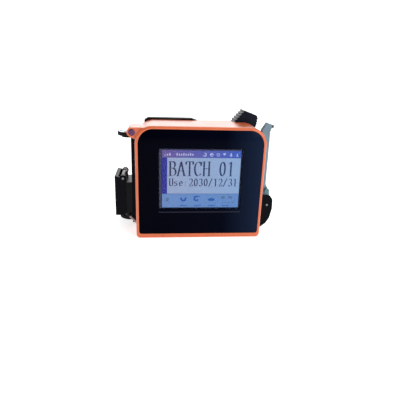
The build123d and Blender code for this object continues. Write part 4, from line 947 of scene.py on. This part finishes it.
# %% Glyphs
GLYPHS = {
    "T": [line((0.3, 0), (0.3, 1)), foot(0.3, 0), line((0.04, 0.8), (0.05, 1), (0.55, 1), (0.56, 0.8))],
    "B": upright(0.13) + [line((0.13, 1), (0.3, 1)), arc(0.3, 0.77, 0.18, 0.23, 90, -90),
                          line((0.13, 0.54), (0.32, 0.54)), arc(0.32, 0.27, 0.21, 0.27, 90, -90),
                          line((0.13, 0), (0.32, 0))],
    "A": [line((0.06, 0), (0.3, 1), (0.54, 0)), line((0.15, 0.34), (0.45, 0.34)),
          foot(0.06, 0), foot(0.54, 0)],
    "C": [arc(0.32, 0.5, 0.26, 0.5, 42, 318), line((0.52, 0.72), (0.52, 0.98))],
    "H": upright(0.12) + upright(0.5) + [line((0.12, 0.52), (0.5, 0.52))],
    "U": [line((0.12, 1), (0.12, 0.3)), arc(0.3, 0.3, 0.18, 0.3, 180, 360), line((0.48, 0.3), (0.48, 1)),
          foot(0.12, 1), foot(0.48, 1)],
    "s": [arc(0.24, 0.5, 0.14, 0.15, 30, 250), arc(0.24, 0.2, 0.15, 0.18, 80, -150)],
    "e": [line((0.1, 0.36), (0.42, 0.36)), arc(0.26, 0.34, 0.17, 0.32, 0, 320)],
    ":": [line((0.2, 0.1), (0.2, 0.16)), line((0.2, 0.5), (0.2, 0.56))],
    "/": [line((0.02, -0.08), (0.42, 1.05))],
    "0": [arc(0.26, 0.5, 0.18, 0.5, 0, 360)],
    "1": [line((0.1, 0.84), (0.26, 1), (0.26, 0)), foot(0.26, 0)],
    "2": [arc(0.26, 0.73, 0.18, 0.27, 165, -35), line((0.41, 0.58), (0.08, 0)),
          line((0.08, 0), (0.44, 0), (0.47, 0.18))],
    "3": [arc(0.25, 0.76, 0.16, 0.24, 155, -90), arc(0.25, 0.26, 0.19, 0.27, 90, -155)],
}


TEXT_LAYER = 3


def write(shape, text, u, v, width, height, nib_width):
    """Adds a line of text whose first foot stands at u, v. Width and height are shares too."""
    start = picture_point(u, v, TEXT_LAYER)
    step = width * PICTURE_WIDTH / len(text)
    tall = height * PICTURE_HEIGHT
    wide = step / PITCH
    for index, letter in enumerate(text):
        for stroke in GLYPHS.get(letter, []):
            spots = [Vector((point.x * wide + index * step, 0, point.z * tall)) + start
                     for point in stroke]
            nib = Vector((nib_width * wide / 2, 0, NIB_LIFT * tall / 2 + NIB_LEAST))
            ends = [shape.verts.new(spots[0] - nib), shape.verts.new(spots[0] + nib)]
            edge = shape.edges.new(ends)
            for here, there in zip(spots, spots[1:]):
                grown = bmesh.ops.extrude_edge_only(shape, edges=[edge])["geom"]
                edge = next(item for item in grown if isinstance(item, bmesh.types.BMEdge))
                bmesh.ops.translate(shape, verts=list(edge.verts), vec=there - here)


def draw_wording(shape):
    """A batch line in large letters and a date under it."""
    write(shape, "BATCH 01", 0.08, 0.565, 0.86, 0.245, NIB_WIDTH)
    write(shape, "Use:2030/12/31", 0.085, 0.385, 0.895, 0.132, 1.1 * NIB_WIDTH)


picture_piece("screen_wording", "dark_ink", draw_wording)

# %% [markdown]
# ## Edge of the panel
# Round the lit picture, the window shows a narrow strip of the panel's own frame, which picks up a
# little violet light at the left and above; that light is painted, as a glow on the strips. A fine grey
# line is printed on the glass under it, and it glows with the same painted light.

# %% Edge of the panel
LINE_DROP = 2.5 * MM            # from the window down to the printed line
LINE_HEIGHT = 0.24 * MM
LINE_RAISE = 0.02 * MM          # the line stands this far in front of the glass


def draw_edge_glow(shape):
    """Strips of painted light at the left and above the picture, and the printed line under it, which
    glows with them.
    """
    flat_patch(shape, -0.034, -0.006, -0.01, 1.01, 1)
    line_low = Vector((WINDOW_LOW.x, GLASS_LOW.y - LINE_RAISE, WINDOW_LOW.z - LINE_DROP))
    upright_rectangle(shape, line_low, Vector((WINDOW_HIGH.x, line_low.y, line_low.z + LINE_HEIGHT)))
    flat_patch(shape, -0.034, 1.004, 1.006, 1.018, 1)


picture_piece("screen_edge_glow", "edge_glow", draw_edge_glow)
